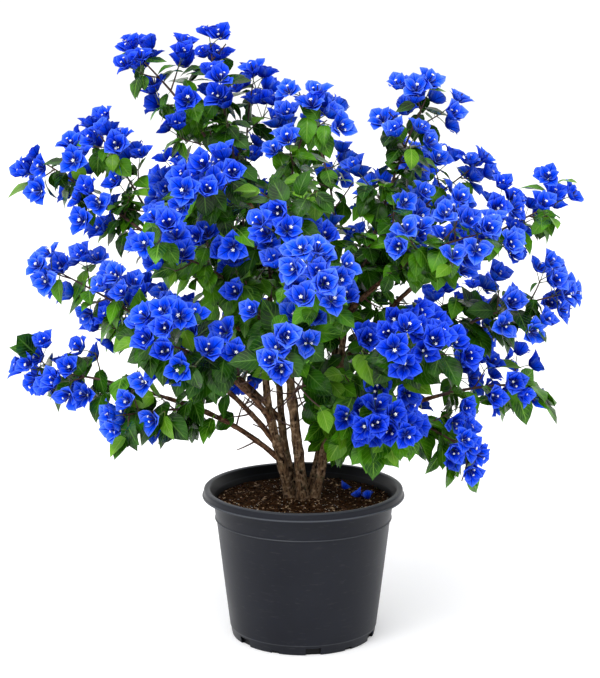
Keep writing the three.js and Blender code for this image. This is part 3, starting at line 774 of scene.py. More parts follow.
# %% Sweep rings along a limb
def swept(centres, radii):
    """Vertices and faces of a closed tube; radii has a row for each ring and a column for each side."""
    sides = radii.shape[1]
    headings = np.gradient(centres, axis=0)
    headings /= np.linalg.norm(headings, axis=1)[:, None]
    side = across(headings[0])[0]
    sideways = []
    for heading in headings:
        side = unit(side - heading * side.dot(heading))
        sideways.append(side)
    sideways = np.array(sideways)
    upward = np.cross(headings, sideways)
    angles = np.arange(sides) * 2 * math.pi / sides
    ring = (sideways[:, None, :] * np.cos(angles)[None, :, None]
            + upward[:, None, :] * np.sin(angles)[None, :, None])
    vertices = (centres[:, None, :] + ring * radii[:, :, None]).reshape(-1, 3)
    faces = []
    last = (len(centres) - 1) * sides
    for j in range(sides):
        after = (j + 1) % sides
        for i in range(len(centres) - 1):
            low, high = i * sides, (i + 1) * sides
            faces.append((low + j, low + after, high + after, high + j))
        faces.append((after, j, last + sides))
        faces.append((last + j, last + after, last + sides + 1))
    return np.vstack([vertices, centres[:1], centres[-1:]]), faces


# %% Relief of the bark
RING_STEP = 0.0036
KNUCKLE_STEP, KNUCKLE_AT, KNUCKLE_WIDTH, KNUCKLE_SWELL = 0.043, 0.012, 0.0035, 0.10  # at leaf scars
KNUCKLE_SHIFT, PATTERN_SHIFT = 0.011, 0.7  # from one limb to the next, so that no two are the same
FORK_SWELL, FORK_WIDTH = 0.22, 2.2  # where a bough leaves; the width is in radii of that bough
HEEL_SWELL, HEEL_LENGTH = 0.3, 0.008  # where a bough begins
LOBE_DEPTH, LOBE_LENGTH = 0.10, 0.022  # three lobes at the foot of a limb
END_RADIUS, END_TAPER = 0.0031, 0.12  # radius at a limb's end, and how fast it may grow from there
RIDGE_DEPTH, RIDGE_GRAIN = 0.17, (260, 42)  # a grain is how many lumps fit in a metre, round and along
ROUGH_DEPTH, ROUGH_GRAIN = 0.07, (620, 210)
SUNK_FOOT, SUNK_WIDER = 0.004, 1.04  # a stem goes this far into the potting mix


def bark_swell(limb, s, length):
    """How much thicker a limb is than its even taper; s runs from its foot, in metres."""
    knuckle = (s + KNUCKLE_SHIFT * limb["phases"][0]) % KNUCKLE_STEP - KNUCKLE_AT
    swell = 1 + KNUCKLE_SWELL * math.exp(-(knuckle / KNUCKLE_WIDTH) ** 2)
    for at, child_radius in limb["children"]:
        if at < 1:
            swell += FORK_SWELL * math.exp(-(((s - at * length) / (FORK_WIDTH * child_radius)) ** 2))
    if not limb["is_stem"]:
        swell += HEEL_SWELL * math.exp(-s / HEEL_LENGTH)
    return swell


def skin_noise(place, s, grain, phase):
    return noise.noise(Vector((place.x * grain[0], place.y * grain[0], s * grain[1] + phase)))


def bark_tube(limb, sides):
    """Vertices and faces of a limb, and for each vertex its place on the straightened limb."""
    length = bend_length(limb["curve"]) * limb["bare"]
    shares = np.linspace(0, 1, int(length / RING_STEP) + 2)
    centres = [limb_point(limb, limb["bare"] * s) for s in shares]
    base = [limb_radius(limb, s) for s in shares]
    if limb["is_stem"]:
        centres.insert(0, centres[0] - UP * SUNK_FOOT)
        base.insert(0, base[0] * SUNK_WIDER)
        shares = np.insert(shares, 0, -SUNK_FOOT / length)
    radii = np.zeros((len(centres), sides))
    places = np.zeros((len(centres), sides, 3))
    phase = limb["phases"][0]
    for i, share in enumerate(shares):
        s = share * length
        swell = bark_swell(limb, s, length)
        slimming = min(base[i], END_RADIUS + (length - s) * END_TAPER)
        foot = max(0, 1 - s / LOBE_LENGTH)
        for j, angle in enumerate(np.arange(sides) * 2 * math.pi / sides):
            place = Vector((math.cos(angle) * base[i], math.sin(angle) * base[i], s))
            ridge = skin_noise(place, s, RIDGE_GRAIN, phase * 5)
            rough = skin_noise(place, s, ROUGH_GRAIN, phase)
            lobe = LOBE_DEPTH * foot * math.sin(3 * angle + phase)
            radii[i, j] = slimming * swell * (1 + RIDGE_DEPTH * ridge + ROUGH_DEPTH * rough + lobe)
            places[i, j] = place
    vertices, faces = swept(np.array(centres), radii)
    return vertices, faces, np.vstack([places.reshape(-1, 3), places[0, 0], places[-1, 0]])


def joined_tubes(name, group, sides):
    """One mesh of several limbs, with the attribute bark_place for the pattern of the bark."""
    vertices, faces, places = [], [], []
    for limb in group:
        v, f, p = bark_tube(limb, sides)
        faces += [tuple(k + len(vertices) for k in face) for face in f]
        vertices += list(v)
        places.append(p + np.array([0, 0, PATTERN_SHIFT * len(places)]))
    piece = mesh_object(name, vertices, faces)
    attribute = piece.data.attributes.new("bark_place", "FLOAT_VECTOR", "POINT")
    attribute.data.foreach_set("vector", np.vstack(places).ravel())
    return piece


def bark_finish(name, dark, main, pale, lichen=0.0):
    """Bark of three browns; lichen is how strongly grey green spots cover it."""
    material, tree, shader = plain_material(name, main, 0.9, 0.12)
    place = add_node(tree, "ShaderNodeAttribute", attribute_name="bark_place").outputs["Vector"]
    along = add_node(tree, "ShaderNodeMapping", {"Vector": place, "Scale": (1, 1, 0.16)}).outputs[0]

    def lumps(vector, scale, detail):
        return add_node(tree, "ShaderNodeTexNoise",
                        {"Vector": vector, "Scale": scale, "Detail": detail}).outputs[0]

    fissure = lumps(along, 420, 5)
    colour = mixed(tree, between(tree, fissure, 0.36, 0.62), dark, main)
    colour = mixed(tree, between(tree, lumps(place, 150, 4), 0.5, 0.72, 0, 0.75), colour, pale)
    if lichen:
        spots = between(tree, lumps(place, 80, 3), 0.58, 0.7, 0, lichen)
        colour = mixed(tree, spots, colour, (0.16, 0.16, 0.09))
    tree.links.new(colour, shader.inputs["Base Color"])
    bump(tree, shader, fissure, 0.9, 0.0016)
    return material


STEM_SIDES, BOUGH_SIDES = 20, 12
OLD_BARK = ((0.004, 0.0014, 0.0005), (0.165, 0.096, 0.050), (0.42, 0.285, 0.175))
BOUGH_BARK = ((0.005, 0.002, 0.001), (0.125, 0.060, 0.031), (0.30, 0.175, 0.105))
old_bark = bark_finish("old grey bark", *OLD_BARK, lichen=0.3)
bough_bark = bark_finish("brown bough bark", *BOUGH_BARK)
stems = joined_tubes("stems", [limb for limb in limbs.values() if limb["is_stem"]], STEM_SIDES)
finish_piece(stems, "bark", [row[0] for row in STEMS], old_bark)
bough_piece = joined_tubes("boughs", boughs, BOUGH_SIDES)
finish_piece(bough_piece, "bark", [f"bough_{limb['name']}" for limb in boughs], bough_bark)

# %% [markdown]
# ## Growing the sprays
#
# A spray is a thin stem that carries on from its bough. Side twigs leave it by turns of the golden angle.
# A side twig that flowers ends in short shoots, and a shoot with room at its end bears one flower head.
# Leaves stand singly along the stem and the twigs. Twigs are kept as lines with a thickness at each point,
# and heads and leaves as a place, a turn and a size, so that nothing heavy exists until Geometry Nodes
# draw it.

# %% Chance that is the same on every run
GOLDEN_ANGLE = math.radians(137.5)


def seeded(seed):
    state = seed

    def draw():
        nonlocal state
        state = (state * 1664525 + 1013904223) & 0xFFFFFFFF
        return state / 2**32

    draw()
    draw()
    return draw


# %% Where a shape may be
END_REACH, POT_ROOM = 34, 8  # millimetres from a stem's end to the spray's tip, and kept free round the pot
# the rest is in metres
HEAD_ROOM, LEAF_ROOM = 0.0258, 0.018  # from a head's cup to the next cup, and to a leaf
HEAD_OVER, LEAF_OVER = 0.008, 0.014  # how far heads and leaf tips may reach out of the spray's space
HANG, LEAF_HANG = 0.036, 0.05  # heads and leaf tips hang no lower than this under the spray's stem
NEIGHBOUR_ROOM = 0.012


def spray_share(branch, share):
    """From a share of the spray's stem to a share of its whole curve."""
    last = 1 - END_REACH * MM / bend_length(branch["curve"])
    return branch["bare"] + (last - branch["bare"]) * share


for branch in branches:
    branch["axis"] = np.array([limb_point(branch, spray_share(branch, s)) for s in (0, 1 / 3, 2 / 3, 1)])


def nearest_on_axis(point, axis):
    spots = []
    for a, b in zip(axis[:-1], axis[1:]):
        way = b - a
        spots.append(a + way * min(1, max(0, (point - a).dot(way) / way.dot(way))))
    return min(spots, key=lambda spot: float(np.linalg.norm(point - spot)))


def distance_to_axis(point, axis):
    return float(np.linalg.norm(point - nearest_on_axis(point, axis)))


def in_pot(point):
    return (point[2] < (POT_HEIGHT + POT_ROOM) * MM
            and math.hypot(point[0], point[1]) < (RIM_RADIUS + POT_ROOM) * MM)


def hangs(point, branch):
    """How far a point is below the nearest place on its spray's stem."""
    return nearest_on_axis(point, branch["axis"])[2] - point[2]


def has_room(point, branch, over=0.0):
    """True inside the spray's own space and outside the pot."""
    own = distance_to_axis(point, branch["axis"])
    if own > branch["spread"] + over or in_pot(point):
        return False
    return all(distance_to_axis(point, other["axis"]) > own - NEIGHBOUR_ROOM
               for other in branches if other is not branch)


def outward(point):
    """The way out of the crown: away from its heart, and a little up."""
    return blend((unit(point - UP * HEART * MM), 1), (UP, 0.25))


LIGHT_WAY = unit(np.array([-0.15, -1.0, 0.3]))  # the bush stood with its front to the light
LIT_IN_MIDDLE, LIT_DEPTH = 0.8, 0.25


def lit(point):
    """How much a shape turns to the light: fully in front, not at all at the back."""
    return min(1.0, max(0.0, LIT_IN_MIDDLE - point[1] / LIT_DEPTH))


# %% [markdown]
# The front was grown towards the light, and its clusters stand out against the leaves between them. They
# are written down as a maker would sketch them: how far aside, how high and how wide each one shows from
# the front, on the upright plane through the pot's axis. A shoot in the front flowers only if it shows in
# a cluster, and every third shoot without a flower bears a leaf. The back is left to chance.

# %% Clusters of the front
BLOOM_DEPTH = 0.07  # the front reaches this far behind the axis
# each cluster is x, z and half its width in millimetres
CLUSTERS = {
    "crest": [(-150, 875, 35), (-240, 870, 30), (-120, 845, 20), (-210, 800, 25), (-175, 765, 30),
              (-120, 795, 20), (-60, 830, 35)],
    "top": [(-20, 770, 45), (-50, 740, 25), (25, 765, 45), (70, 705, 25)],
    "right top": [(170, 790, 45), (210, 780, 25), (120, 755, 25), (180, 725, 20), (180, 685, 30),
                  (245, 695, 35)],
    "left top": [(-275, 765, 35), (-325, 745, 20), (-385, 710, 30), (-370, 675, 25), (-310, 700, 45),
                 (-240, 720, 30), (-325, 665, 25)],
    "left": [(-140, 685, 45), (-180, 610, 45), (-105, 570, 20), (-290, 615, 40), (-355, 550, 40),
             (-290, 535, 45), (-300, 485, 25), (-225, 565, 30), (-200, 510, 15)],
    "middle": [(-35, 590, 45), (5, 590, 30), (0, 525, 25), (45, 535, 35), (95, 530, 30), (0, 485, 20),
               (-95, 500, 25), (-20, 430, 35)],
    "left below": [(-215, 465, 30), (-145, 465, 45), (-190, 425, 40), (-115, 410, 30), (-225, 385, 15)],
    "left tip": [(-355, 420, 40), (-395, 395, 30), (-355, 360, 30), (-305, 410, 20), (-270, 335, 30),
                 (-225, 320, 15)],
    "right": [(125, 635, 35), (200, 625, 40), (240, 585, 40), (285, 600, 35), (285, 655, 25), (320, 625, 25),
              (350, 665, 25), (145, 580, 20), (265, 545, 20), (315, 480, 35), (250, 450, 40)],
    "right tip": [(395, 655, 20), (395, 620, 20), (365, 565, 30), (385, 510, 30), (385, 475, 30)],
    "right below": [(105, 450, 35), (140, 460, 25), (175, 455, 35), (130, 415, 20), (270, 390, 25),
                    (305, 365, 25), (100, 335, 40), (155, 335, 35), (225, 320, 30), (200, 295, 20),
                    (240, 275, 35)],
}
CLEARING = (-112, 10, 384)  # from x to x, and below z, the stems stand bare


def shown_place(point):
    """Where an eye at the camera sees a point on the upright plane through the axis, in mm."""
    eye = np.array(CAMERA_PLACE)
    return (eye + (point - eye) * (-eye[1] / (point[1] - eye[1]))) / MM


def in_cluster(point):
    """True if the point shows inside a cluster."""
    shown = shown_place(point)
    return any(math.hypot(shown[0] - x, shown[2] - z) < half
               for part in CLUSTERS.values() for x, z, half in part)


def in_clearing(point):
    """True if the point shows before or behind the bare stems."""
    shown = shown_place(point)
    return CLEARING[0] < shown[0] < CLEARING[1] and shown[2] < CLEARING[2]


# %% Grow one spray
SIDE_TWIGS, LEAFY_SIDE_TWIGS = 7, 9
FLOWERING = 0.74  # share of the side twigs that end in flowers at the back; in front all may
NODE_START, NODE_END = 0.9, 0.5  # in steps between side twigs, at the foot and the tip of the spray
TWIG_LEAN, TWIG_LEAN_SPREAD, TWIG_RISE = 58, 30, 0.12
TWIG_LENGTH, TWIG_SHORTER = 0.62, 0.16
SECOND_TRY = 0.7  # a twig without room is tried once more at this share of its length
TWIG_BOW, TWIG_SAG = 0.12, 0.03  # in lengths of the twig
TWIG_LEAVES, FIRST_LEAF = 4, 0.2
LEAF_STEP, LEAFY_STEP = 0.17, 0.22  # shares of the twig, with flowers and without
SHOOTS, SHOOT_SPACING, SHOOT_RISE = 9, 0.04, 0.15
SHOOT_LENGTH = (0.017, 0.027)
SHOOT_OPEN, SHOOT_OPEN_SPREAD = 52, 26  # degrees from the twig
END_HEADS = 7  # at the end of a spray; a leafy one has young leaves instead
STEM_OVERLAP = 0.004  # a spray's stem starts this far inside its bough
HEAD_SMALLEST, HEAD_SPREAD = 0.0252, 0.0052
CUP_HEIGHT = 0.45  # middle of the cup, in sizes of the head
LOW_LEAVES, HIGH_LEAVES, LEAF_SPLIT = 1.02, 0.8, 0.5  # leaves under half a metre are larger
# lengths of leaves by where they stand
TWIG_LEAF, PAIR_LEAF, TIP_LEAF, SHOOT_LEAF = 0.046, 0.04, 0.034, 0.042
FIRST_AXIL_LEAF, SECOND_AXIL_LEAF, LIMB_LEAF = 0.048, 0.045, 0.036
# thickness where a twig begins and where it ends
SIDE_TWIG, GREEN_SHOOT, LIMB_SHOOT = (0.0013, 0.0009), (0.0008, 0.0006), (0.0016, 0.0008)
SPRAY_STEM, SLIM_SPRAY_STEM = (0.0028, 0.0011), (0.0024, 0.0011)
lines = {"brown": [], "green": []}
heads, leaf_wishes = [], []


def bent_line(root, end, sag, side, count):
    """Points of a twig from root to end that bends sideways a little and sags."""
    shares = np.linspace(0, 1, count)[:, None]
    bow = np.sin(shares * math.pi) * (side - UP * sag)
    return root + (end - root) * shares + bow


def free_head(cup):
    return all(np.linalg.norm(cup - other["cup"]) > HEAD_ROOM for other in heads)


def try_head(branch, place, along, draw):
    """Adds a flower head and returns True if it fits here."""
    chance = np.array([draw(), draw(), draw()]) - 0.5
    facing = blend((along, 0.5), (outward(place), 0.6), (LIGHT_WAY, 0.6 * lit(place)), (chance, 0.7))
    size, roll, kind = HEAD_SMALLEST + HEAD_SPREAD * draw(), draw(), int(draw() * 4)
    cup = place + facing * size * CUP_HEIGHT
    if hangs(place, branch) > HANG or not has_room(place, branch, HEAD_OVER) or not free_head(cup):
        return False
    if place[1] < BLOOM_DEPTH and not in_cluster(cup):
        return False
    heads.append({"place": place, "facing": facing, "size": size, "roll": roll, "kind": kind,
                  "of": branch, "cup": cup})
    return True


def wish_leaf(branch, root, along, draw, size, young=False):
    """Notes a leaf; it is kept later on if it fits."""
    chance = np.array([draw(), draw(), draw()]) - 0.5
    points = blend((along, 0.5), (outward(root), 0.4), (UP, -0.6), (chance, 0.9))
    looks = blend((outward(root), 0.6), (UP, 0.5), (LIGHT_WAY, 0.5 * lit(root)),
                  (np.array([draw(), draw(), draw()]) - 0.5, 0.7))
    size *= (0.8 + 0.4 * draw()) * (LOW_LEAVES if root[2] < LEAF_SPLIT else HIGH_LEAVES)
    leaf_wishes.append({"place": root, "points": points, "looks": looks, "size": size,
                        "kind": int(draw() * 4), "young": young, "of": branch})


def grow_side_twig(branch, root, along, turn, length, draw):
    lean = math.radians(TWIG_LEAN + TWIG_LEAN_SPREAD * (draw() - 0.5))
    direction = blend((along, math.cos(lean)), (around(along, turn), math.sin(lean)), (UP, TWIG_RISE))
    end = root + direction * length
    if not has_room(end, branch):
        length *= SECOND_TRY
        end = root + direction * length
        if not has_room(end, branch):
            return
    side = across(direction)[0] * length * TWIG_BOW * (draw() - 0.5)
    lines["brown"].append((bent_line(root, end, length * TWIG_SAG, side, 6), *SIDE_TWIG))
    flowering = not branch["leafy"] and (draw() < FLOWERING or root[1] < BLOOM_DEPTH)
    for k in range(TWIG_LEAVES):
        foot = root + (end - root) * (FIRST_LEAF + (LEAF_STEP if flowering else LEAFY_STEP) * k)
        wish_leaf(branch, foot, around(direction, turn + 2 + k * GOLDEN_ANGLE), draw, TWIG_LEAF)
    if not flowering:
        wish_leaf(branch, end, direction, draw, TIP_LEAF, young=True)
        wish_leaf(branch, end, around(direction, turn + 1), draw, PAIR_LEAF, young=draw() < 0.5)
        return
    for k in range(SHOOTS):
        foot = root + (end - root) * (1 - SHOOT_SPACING * k)
        if k:
            opened = math.radians(SHOOT_OPEN + SHOOT_OPEN_SPREAD * draw())
            way = blend((direction, math.cos(opened)),
                        (around(direction, turn + k * GOLDEN_ANGLE), math.sin(opened)), (UP, SHOOT_RISE))
        else:
            way = blend((direction, 1), (UP, 0.2 * draw()))
        tip = foot + way * (SHOOT_LENGTH[0] + (SHOOT_LENGTH[1] - SHOOT_LENGTH[0]) * draw())
        if try_head(branch, tip, way, draw):
            lines["green"].append((bent_line(foot, tip, -0.001, side * 0.1, 4), *GREEN_SHOOT))
        elif k % 3 == 0:
            wish_leaf(branch, foot, way, draw, SHOOT_LEAF, young=k == 0)
    near_end = root + (end - root) * 0.9
    wish_leaf(branch, near_end, around(direction, turn + 0.5), draw, TIP_LEAF, young=draw() < 0.5)


def grow_end(branch, end, tip, phase, draw):
    """The heads or young leaves at the end of a spray; tip is the way that its stem points."""
    for k in range(END_HEADS):
        aside = 0.0 if k == 0 else 1.3 + 0.12 * k
        way = blend((tip, 1), (around(tip, phase + k * GOLDEN_ANGLE), aside))
        place = end + way * (0.010 + 0.016 * draw()) - tip * 0.004 * k
        if branch["leafy"]:
            wish_leaf(branch, end, way, draw, PAIR_LEAF, young=True)
        elif try_head(branch, place, way, draw):
            lines["green"].append((bent_line(end, place, -0.001, way * 0, 4), *GREEN_SHOOT))


def grow_spray(branch):
    draw = seeded(7919 * (branch["index"] + 1))
    line = np.array([limb_point(branch, spray_share(branch, s)) for s in np.linspace(0, 1, 16)])
    on_bough = branch["bare"] > 0 or branch["from_tip"]
    if on_bough:
        line[0] -= unit(line[1] - line[0]) * STEM_OVERLAP
    lines["brown"].append((line, *(SPRAY_STEM if on_bough else SLIM_SPRAY_STEM)))
    phase = draw() * 2 * math.pi
    grow_end(branch, line[-1], unit(line[-1] - line[-2]), phase, draw)
    nodes = LEAFY_SIDE_TWIGS if branch["leafy"] else SIDE_TWIGS
    for node in range(nodes - 1, -1, -1):
        share = (node + NODE_START) / (nodes + NODE_END)
        turn = phase + node * GOLDEN_ANGLE
        length = branch["spread"] * (TWIG_LENGTH - TWIG_SHORTER * share) * (0.85 + 0.3 * draw())
        where = spray_share(branch, share)
        root, along = limb_point(branch, where), bend_heading(branch["curve"], where)
        grow_side_twig(branch, root, along, turn, length, draw)
        wish_leaf(branch, root, around(along, turn + 2), draw, FIRST_AXIL_LEAF)
        wish_leaf(branch, root, around(along, turn + 4), draw, SECOND_AXIL_LEAF)


for branch in branches:
    grow_spray(branch)
print("sprays:", len(lines["brown"]), "twigs,", len(lines["green"]), "shoots and", len(heads), "flower heads")

# %% Side shoots on the stems and boughs
SHOOT_START, SHOOT_RANGE = 0.29, 0.17  # metres above the ground, and from the axis on a bough
SHOOT_STEP, SIDE_SHOOT, SHOOT_SPACE = 0.026, 0.036, 0.06


def grow_limb_shoots(limb, index):
    """Short shoots on a limb, in the space that the sprays leave free."""
    line = np.array([limb_point(limb, s) for s in np.linspace(0, 1, 4)])
    own = {"axis": line, "spread": SHOOT_SPACE, "leafy": True, "index": index}
    draw = seeded(104729 + index)
    count = int(bend_length(limb["curve"]) / SHOOT_STEP)
    for k in range(count):
        share = (k + draw()) / count
        root = limb_point(limb, share)
        if root[2] < SHOOT_START or not (limb["is_stem"] or np.hypot(root[0], root[1]) < SHOOT_RANGE):
            continue
        way = blend((around(bend_heading(limb["curve"], share), k * GOLDEN_ANGLE), 1), (UP, 0.5))
        end = root + way * SIDE_SHOOT * (0.7 + 0.6 * draw())
        if not has_room(end, own):
            continue
        side = across(way)[0] * 0.006 * (draw() - 0.5)
        lines["brown"].append((bent_line(root, end, 0.001, side, 4), *LIMB_SHOOT))
        for j in range(3):
            foot = root + (end - root) * (0.6 + 0.2 * j)
            wish_leaf(own, foot, around(way, j * GOLDEN_ANGLE + k), draw, LIMB_LEAF)


for i, limb in enumerate(limbs.values()):
    grow_limb_shoots(limb, i)
print("with side shoots:", len(lines["brown"]), "twigs and", len(leaf_wishes), "places for leaves")

# %% Keep the leaves that fit
LEAF_TESTS = (0.45, 0.75, 1.1)  # places along a leaf that are tried
head_cups = np.array([head["cup"] for head in heads])
leaves = []
for wish in leaf_wishes:
    reached = [wish["place"] + wish["points"] * wish["size"] * k for k in LEAF_TESTS]
    spray = wish["of"]
    if any(in_pot(point) or in_clearing(point) for point in reached):
        continue
    if hangs(reached[-1], spray) > LEAF_HANG:
        continue
    if distance_to_axis(reached[-1], spray["axis"]) > spray["spread"] + LEAF_OVER:
        continue
    if min(np.linalg.norm(head_cups - point, axis=1).min() for point in reached) < LEAF_ROOM:
        continue
    leaves.append(wish)
print("kept", len(leaves), "leaves")

# %% [markdown]
# ## Twigs
#
# A twig follows a path and thins along it, which is just what a curve with a radius does. The lines become
# one mesh of edges with the thickness kept on every point, and the tree turns them into curves and then
# into tubes. Brown twigs carry the spray, and the last green shoots carry the flower heads.

# %% The twig tree
def twig_tree():
    group, given, output = new_tree("twigs from lines", [
        ("Sides", "Int"), ("Thickness", "Float"), ("Finish", "Material")])
    curve = add_node(group, "GeometryNodeMeshToCurve", {"Mesh": given["Geometry"]})
    thick = add_node(group, "GeometryNodeInputNamedAttribute", {"Name": "thick"}, data_type="FLOAT")
    wide = maths(group, "MULTIPLY", thick.outputs[0], given["Thickness"])
    ring = add_node(group, "GeometryNodeCurvePrimitiveCircle", {"Resolution": given["Sides"], "Radius": 1.0})
    tube = add_node(group, "GeometryNodeCurveToMesh", {
        "Curve": curve.outputs[0], "Profile Curve": ring.outputs[0], "Scale": wide, "Fill Caps": True})
    smooth = add_node(group, "GeometryNodeSetShadeSmooth", {"Geometry": tube.outputs[0]})
    end_tree(group, smooth.outputs[0], given["Finish"], output)
    return group


def twig_lines(name, rows):
    points, edges, thick = [], [], []
    for line, first, last in rows:
        start = len(points)
        points += [tuple(p) for p in line]
        edges += [(start + k, start + k + 1) for k in range(len(line) - 1)]
        thick += list(np.linspace(first, last, len(line)))
    mesh = bpy.data.meshes.new(name)
    mesh.from_pydata(points, edges, [])
    mesh.attributes.new("thick", "FLOAT", "POINT").data.foreach_set("value", thick)
    return in_scene(name, mesh)


def twig_finish(name, dark, main):
    material, tree, shader = plain_material(name, main, 0.6, 0.4)
    streak = between(tree, object_noise(tree, 210, 4), 0.35, 0.65)
    tree.links.new(mixed(tree, streak, dark, main), shader.inputs["Base Color"])
    bump(tree, shader, object_noise(tree, 500, 3), 0.4, 0.0005)
    return material


twigs = twig_tree()
brown_twig = twig_finish("brown twig bark", (0.035, 0.014, 0.011), (0.105, 0.05, 0.033))
green_shoot = twig_finish("green shoot", (0.05, 0.075, 0.02), (0.12, 0.17, 0.05))
blooming_sprays = [f"spray_{branch['name']}" for branch in branches if not branch["leafy"]]
all_sprays = blooming_sprays + [f"spray_{branch['name']}" for branch in branches if branch["leafy"]]
for name, rows, sides, finish, slot in (("twigs", lines["brown"], 6, brown_twig, "bark"),
                                        ("shoots", lines["green"], 4, green_shoot, "foliage")):
    source = twig_lines(name + "_lines", rows)
    piece = baked(name, source, twigs, {"Sides": sides, "Thickness": 1.0, "Finish": finish})
    bpy.data.objects.remove(source)
    finish_piece(piece, slot, all_sprays)

# %% [markdown]
# ## Leaves
#
# The leaf is a pointed oval with a drawn-out tip, folded a little along its midrib, with a slim stalk. A
# few faces are enough if their edge follows the leaf's own outline. Four different leaves, turned and
# sized anew each time, keep the eye from finding the copies.

# %% A leaf
LEAF_STATIONS = (0, 0.07, 0.2, 0.38, 0.58, 0.78, 0.92, 1)
LEAF_HALF_WIDTHS = (0, 0.19, 0.325, 0.375, 0.32, 0.18, 0.055, 0)
LEAF_DIP = 0.1
STALK, STALK_RADIUS = 0.2, 0.014  # in lengths of the leaf
COLUMNS = (-1, -0.5, 0, 0.5, 1)


def sheet_mesh(rows, places):
    """A bmesh from rows of points, and its UV layer; a row whose points are all one place is a tip."""
    made = bmesh.new()
    uv = made.loops.layers.uv.new("UVMap")
    grid = []
    for row in rows:
        if all((Vector(p) - Vector(row[0])).length < 1e-6 for p in row):
            grid.append([made.verts.new(row[0])] * len(row))
        else:
            grid.append([made.verts.new(p) for p in row])
    for i in range(len(rows) - 1):
        for j in range(len(rows[i]) - 1):
            seen, use = [], []
            for a, b in ((i, j), (i + 1, j), (i + 1, j + 1), (i, j + 1)):
                if grid[a][b] not in seen:
                    seen.append(grid[a][b])
                    use.append((a, b))
            face = made.faces.new(seen)
            face.smooth = True
            for loop, (a, b) in zip(face.loops, use):
                loop[uv].uv = places[a][b]
    return made, uv


def add_stalk(made, uv):
    """A three-sided stalk from the leaf's foot to its blade."""
    ring = []
    for k in range(2):
        at = Vector((STALK * k * 1.02, 0, 0.02 * math.sin(k * math.pi) - 0.004))
        ring.append([made.verts.new(at + Vector((0, STALK_RADIUS * math.cos(a), STALK_RADIUS * math.sin(a))))
                     for a in (math.pi / 2, math.pi * 7 / 6, math.pi * 11 / 6)])
    for j in range(3):
        face = made.faces.new((ring[0][j], ring[0][(j + 1) % 3], ring[1][(j + 1) % 3], ring[1][j]))
        face.smooth = True
        for loop in face.loops:
            loop[uv].uv = (0.5, 0.02)


def leaf_mesh(name, fold, droop, curl, wave):
    rows, places = [], []
    x, z, before = STALK, 0.0, 0.0
    for t, half in zip(LEAF_STATIONS, LEAF_HALF_WIDTHS):
        dip = LEAF_DIP + droop * ((t + before) / 2) ** 1.3
        x += (t - before) * math.cos(dip)
        z -= (t - before) * math.sin(dip)
        before = t
        row = []
        for c in COLUMNS:
            ripple = wave * half * math.sin(9 * t + 2 * c)
            lift = abs(c) * half * math.sin(fold) - curl * c * c * half + ripple
            back = 0.05 * abs(c) if t == LEAF_STATIONS[1] else 0
            row.append((x - back + lift * math.sin(dip), c * half * math.cos(fold), z + lift * math.cos(dip)))
        rows.append(row)
        places.append([(0.5 + 0.5 * c, t) for c in COLUMNS])
    made, uv = sheet_mesh(rows, places)
    add_stalk(made, uv)
    return mesh_of(name, made)


leaf_shapes = shape_collection("leaf", [
    leaf_mesh("leaf_flat", 0.22, 0.35, 0.15, 0.05), leaf_mesh("leaf_bent", 0.32, 0.75, 0.2, 0.08),
    leaf_mesh("leaf_folded", 0.5, 0.5, 0.18, 0.06), leaf_mesh("leaf_curled", 0.28, 1.05, 0.3, 0.1)])

# %% [markdown]
# The same tree puts leaves, heads and the small flowers in place. Each point brings its own turn, size and
# choice of shape as attributes, so the rule above stays in charge and the tree only draws.

# %% The placing tree
def placing_tree():
    group, given, output = new_tree("put shapes on points", [
        ("Shapes", "Collection"), ("Size", "Float"), ("Finish", "Material")])
    shapes = add_node(group, "GeometryNodeCollectionInfo", {
        "Collection": given["Shapes"], "Separate Children": True, "Reset Children": True})
    turn = add_node(group, "GeometryNodeInputNamedAttribute", {"Name": "turn"}, data_type="FLOAT_VECTOR")
    rotation = add_node(group, "FunctionNodeEulerToRotation", {"Euler": turn.outputs[0]})
    size = add_node(group, "GeometryNodeInputNamedAttribute", {"Name": "size"}, data_type="FLOAT")
    scale = maths(group, "MULTIPLY", size.outputs[0], given["Size"])
    kind = add_node(group, "GeometryNodeInputNamedAttribute", {"Name": "kind"}, data_type="INT")
    put = add_node(group, "GeometryNodeInstanceOnPoints", {
        "Points": given["Geometry"], "Instance": shapes.outputs[0], "Pick Instance": True,
        "Instance Index": kind.outputs[0], "Rotation": rotation.outputs[0], "Scale": scale})
    end_tree(group, put.outputs[0], given["Finish"], output)
    return group


def points_with(name, rows):
    """A mesh of points; each row is (place, x direction, z direction, size, kind)."""
    mesh = bpy.data.meshes.new(name)
    mesh.from_pydata([tuple(row[0]) for row in rows], [], [])
    turns = []
    for _, x_way, z_way, _, _ in rows:
        x_axis = Vector(x_way).normalized()
        y_axis = Vector(z_way).cross(x_axis).normalized()
        z_axis = x_axis.cross(y_axis)
        turns += list(Matrix((x_axis, y_axis, z_axis)).transposed().to_euler("XYZ"))
    mesh.attributes.new("turn", "FLOAT_VECTOR", "POINT").data.foreach_set("vector", turns)
    mesh.attributes.new("size", "FLOAT", "POINT").data.foreach_set("value", [row[3] for row in rows])
    mesh.attributes.new("kind", "INT", "POINT").data.foreach_set("value", [row[4] for row in rows])
    return in_scene(name, mesh)


placing = placing_tree()


def placed(name, rows, shapes, material):
    source = points_with(name + "_points", rows)
    piece = baked(name, source, placing, {"Shapes": shapes, "Size": 1.0, "Finish": material})
    bpy.data.objects.remove(source)
    return piece


# %% [markdown]
# A leaf's finish: a deep green with a paler midrib and side veins that leave it at a slant, a waxy gloss,
# and a slow change from leaf to leaf. Veins are read from the UV map, whose first number runs across the
# leaf and whose second runs from stalk to tip.

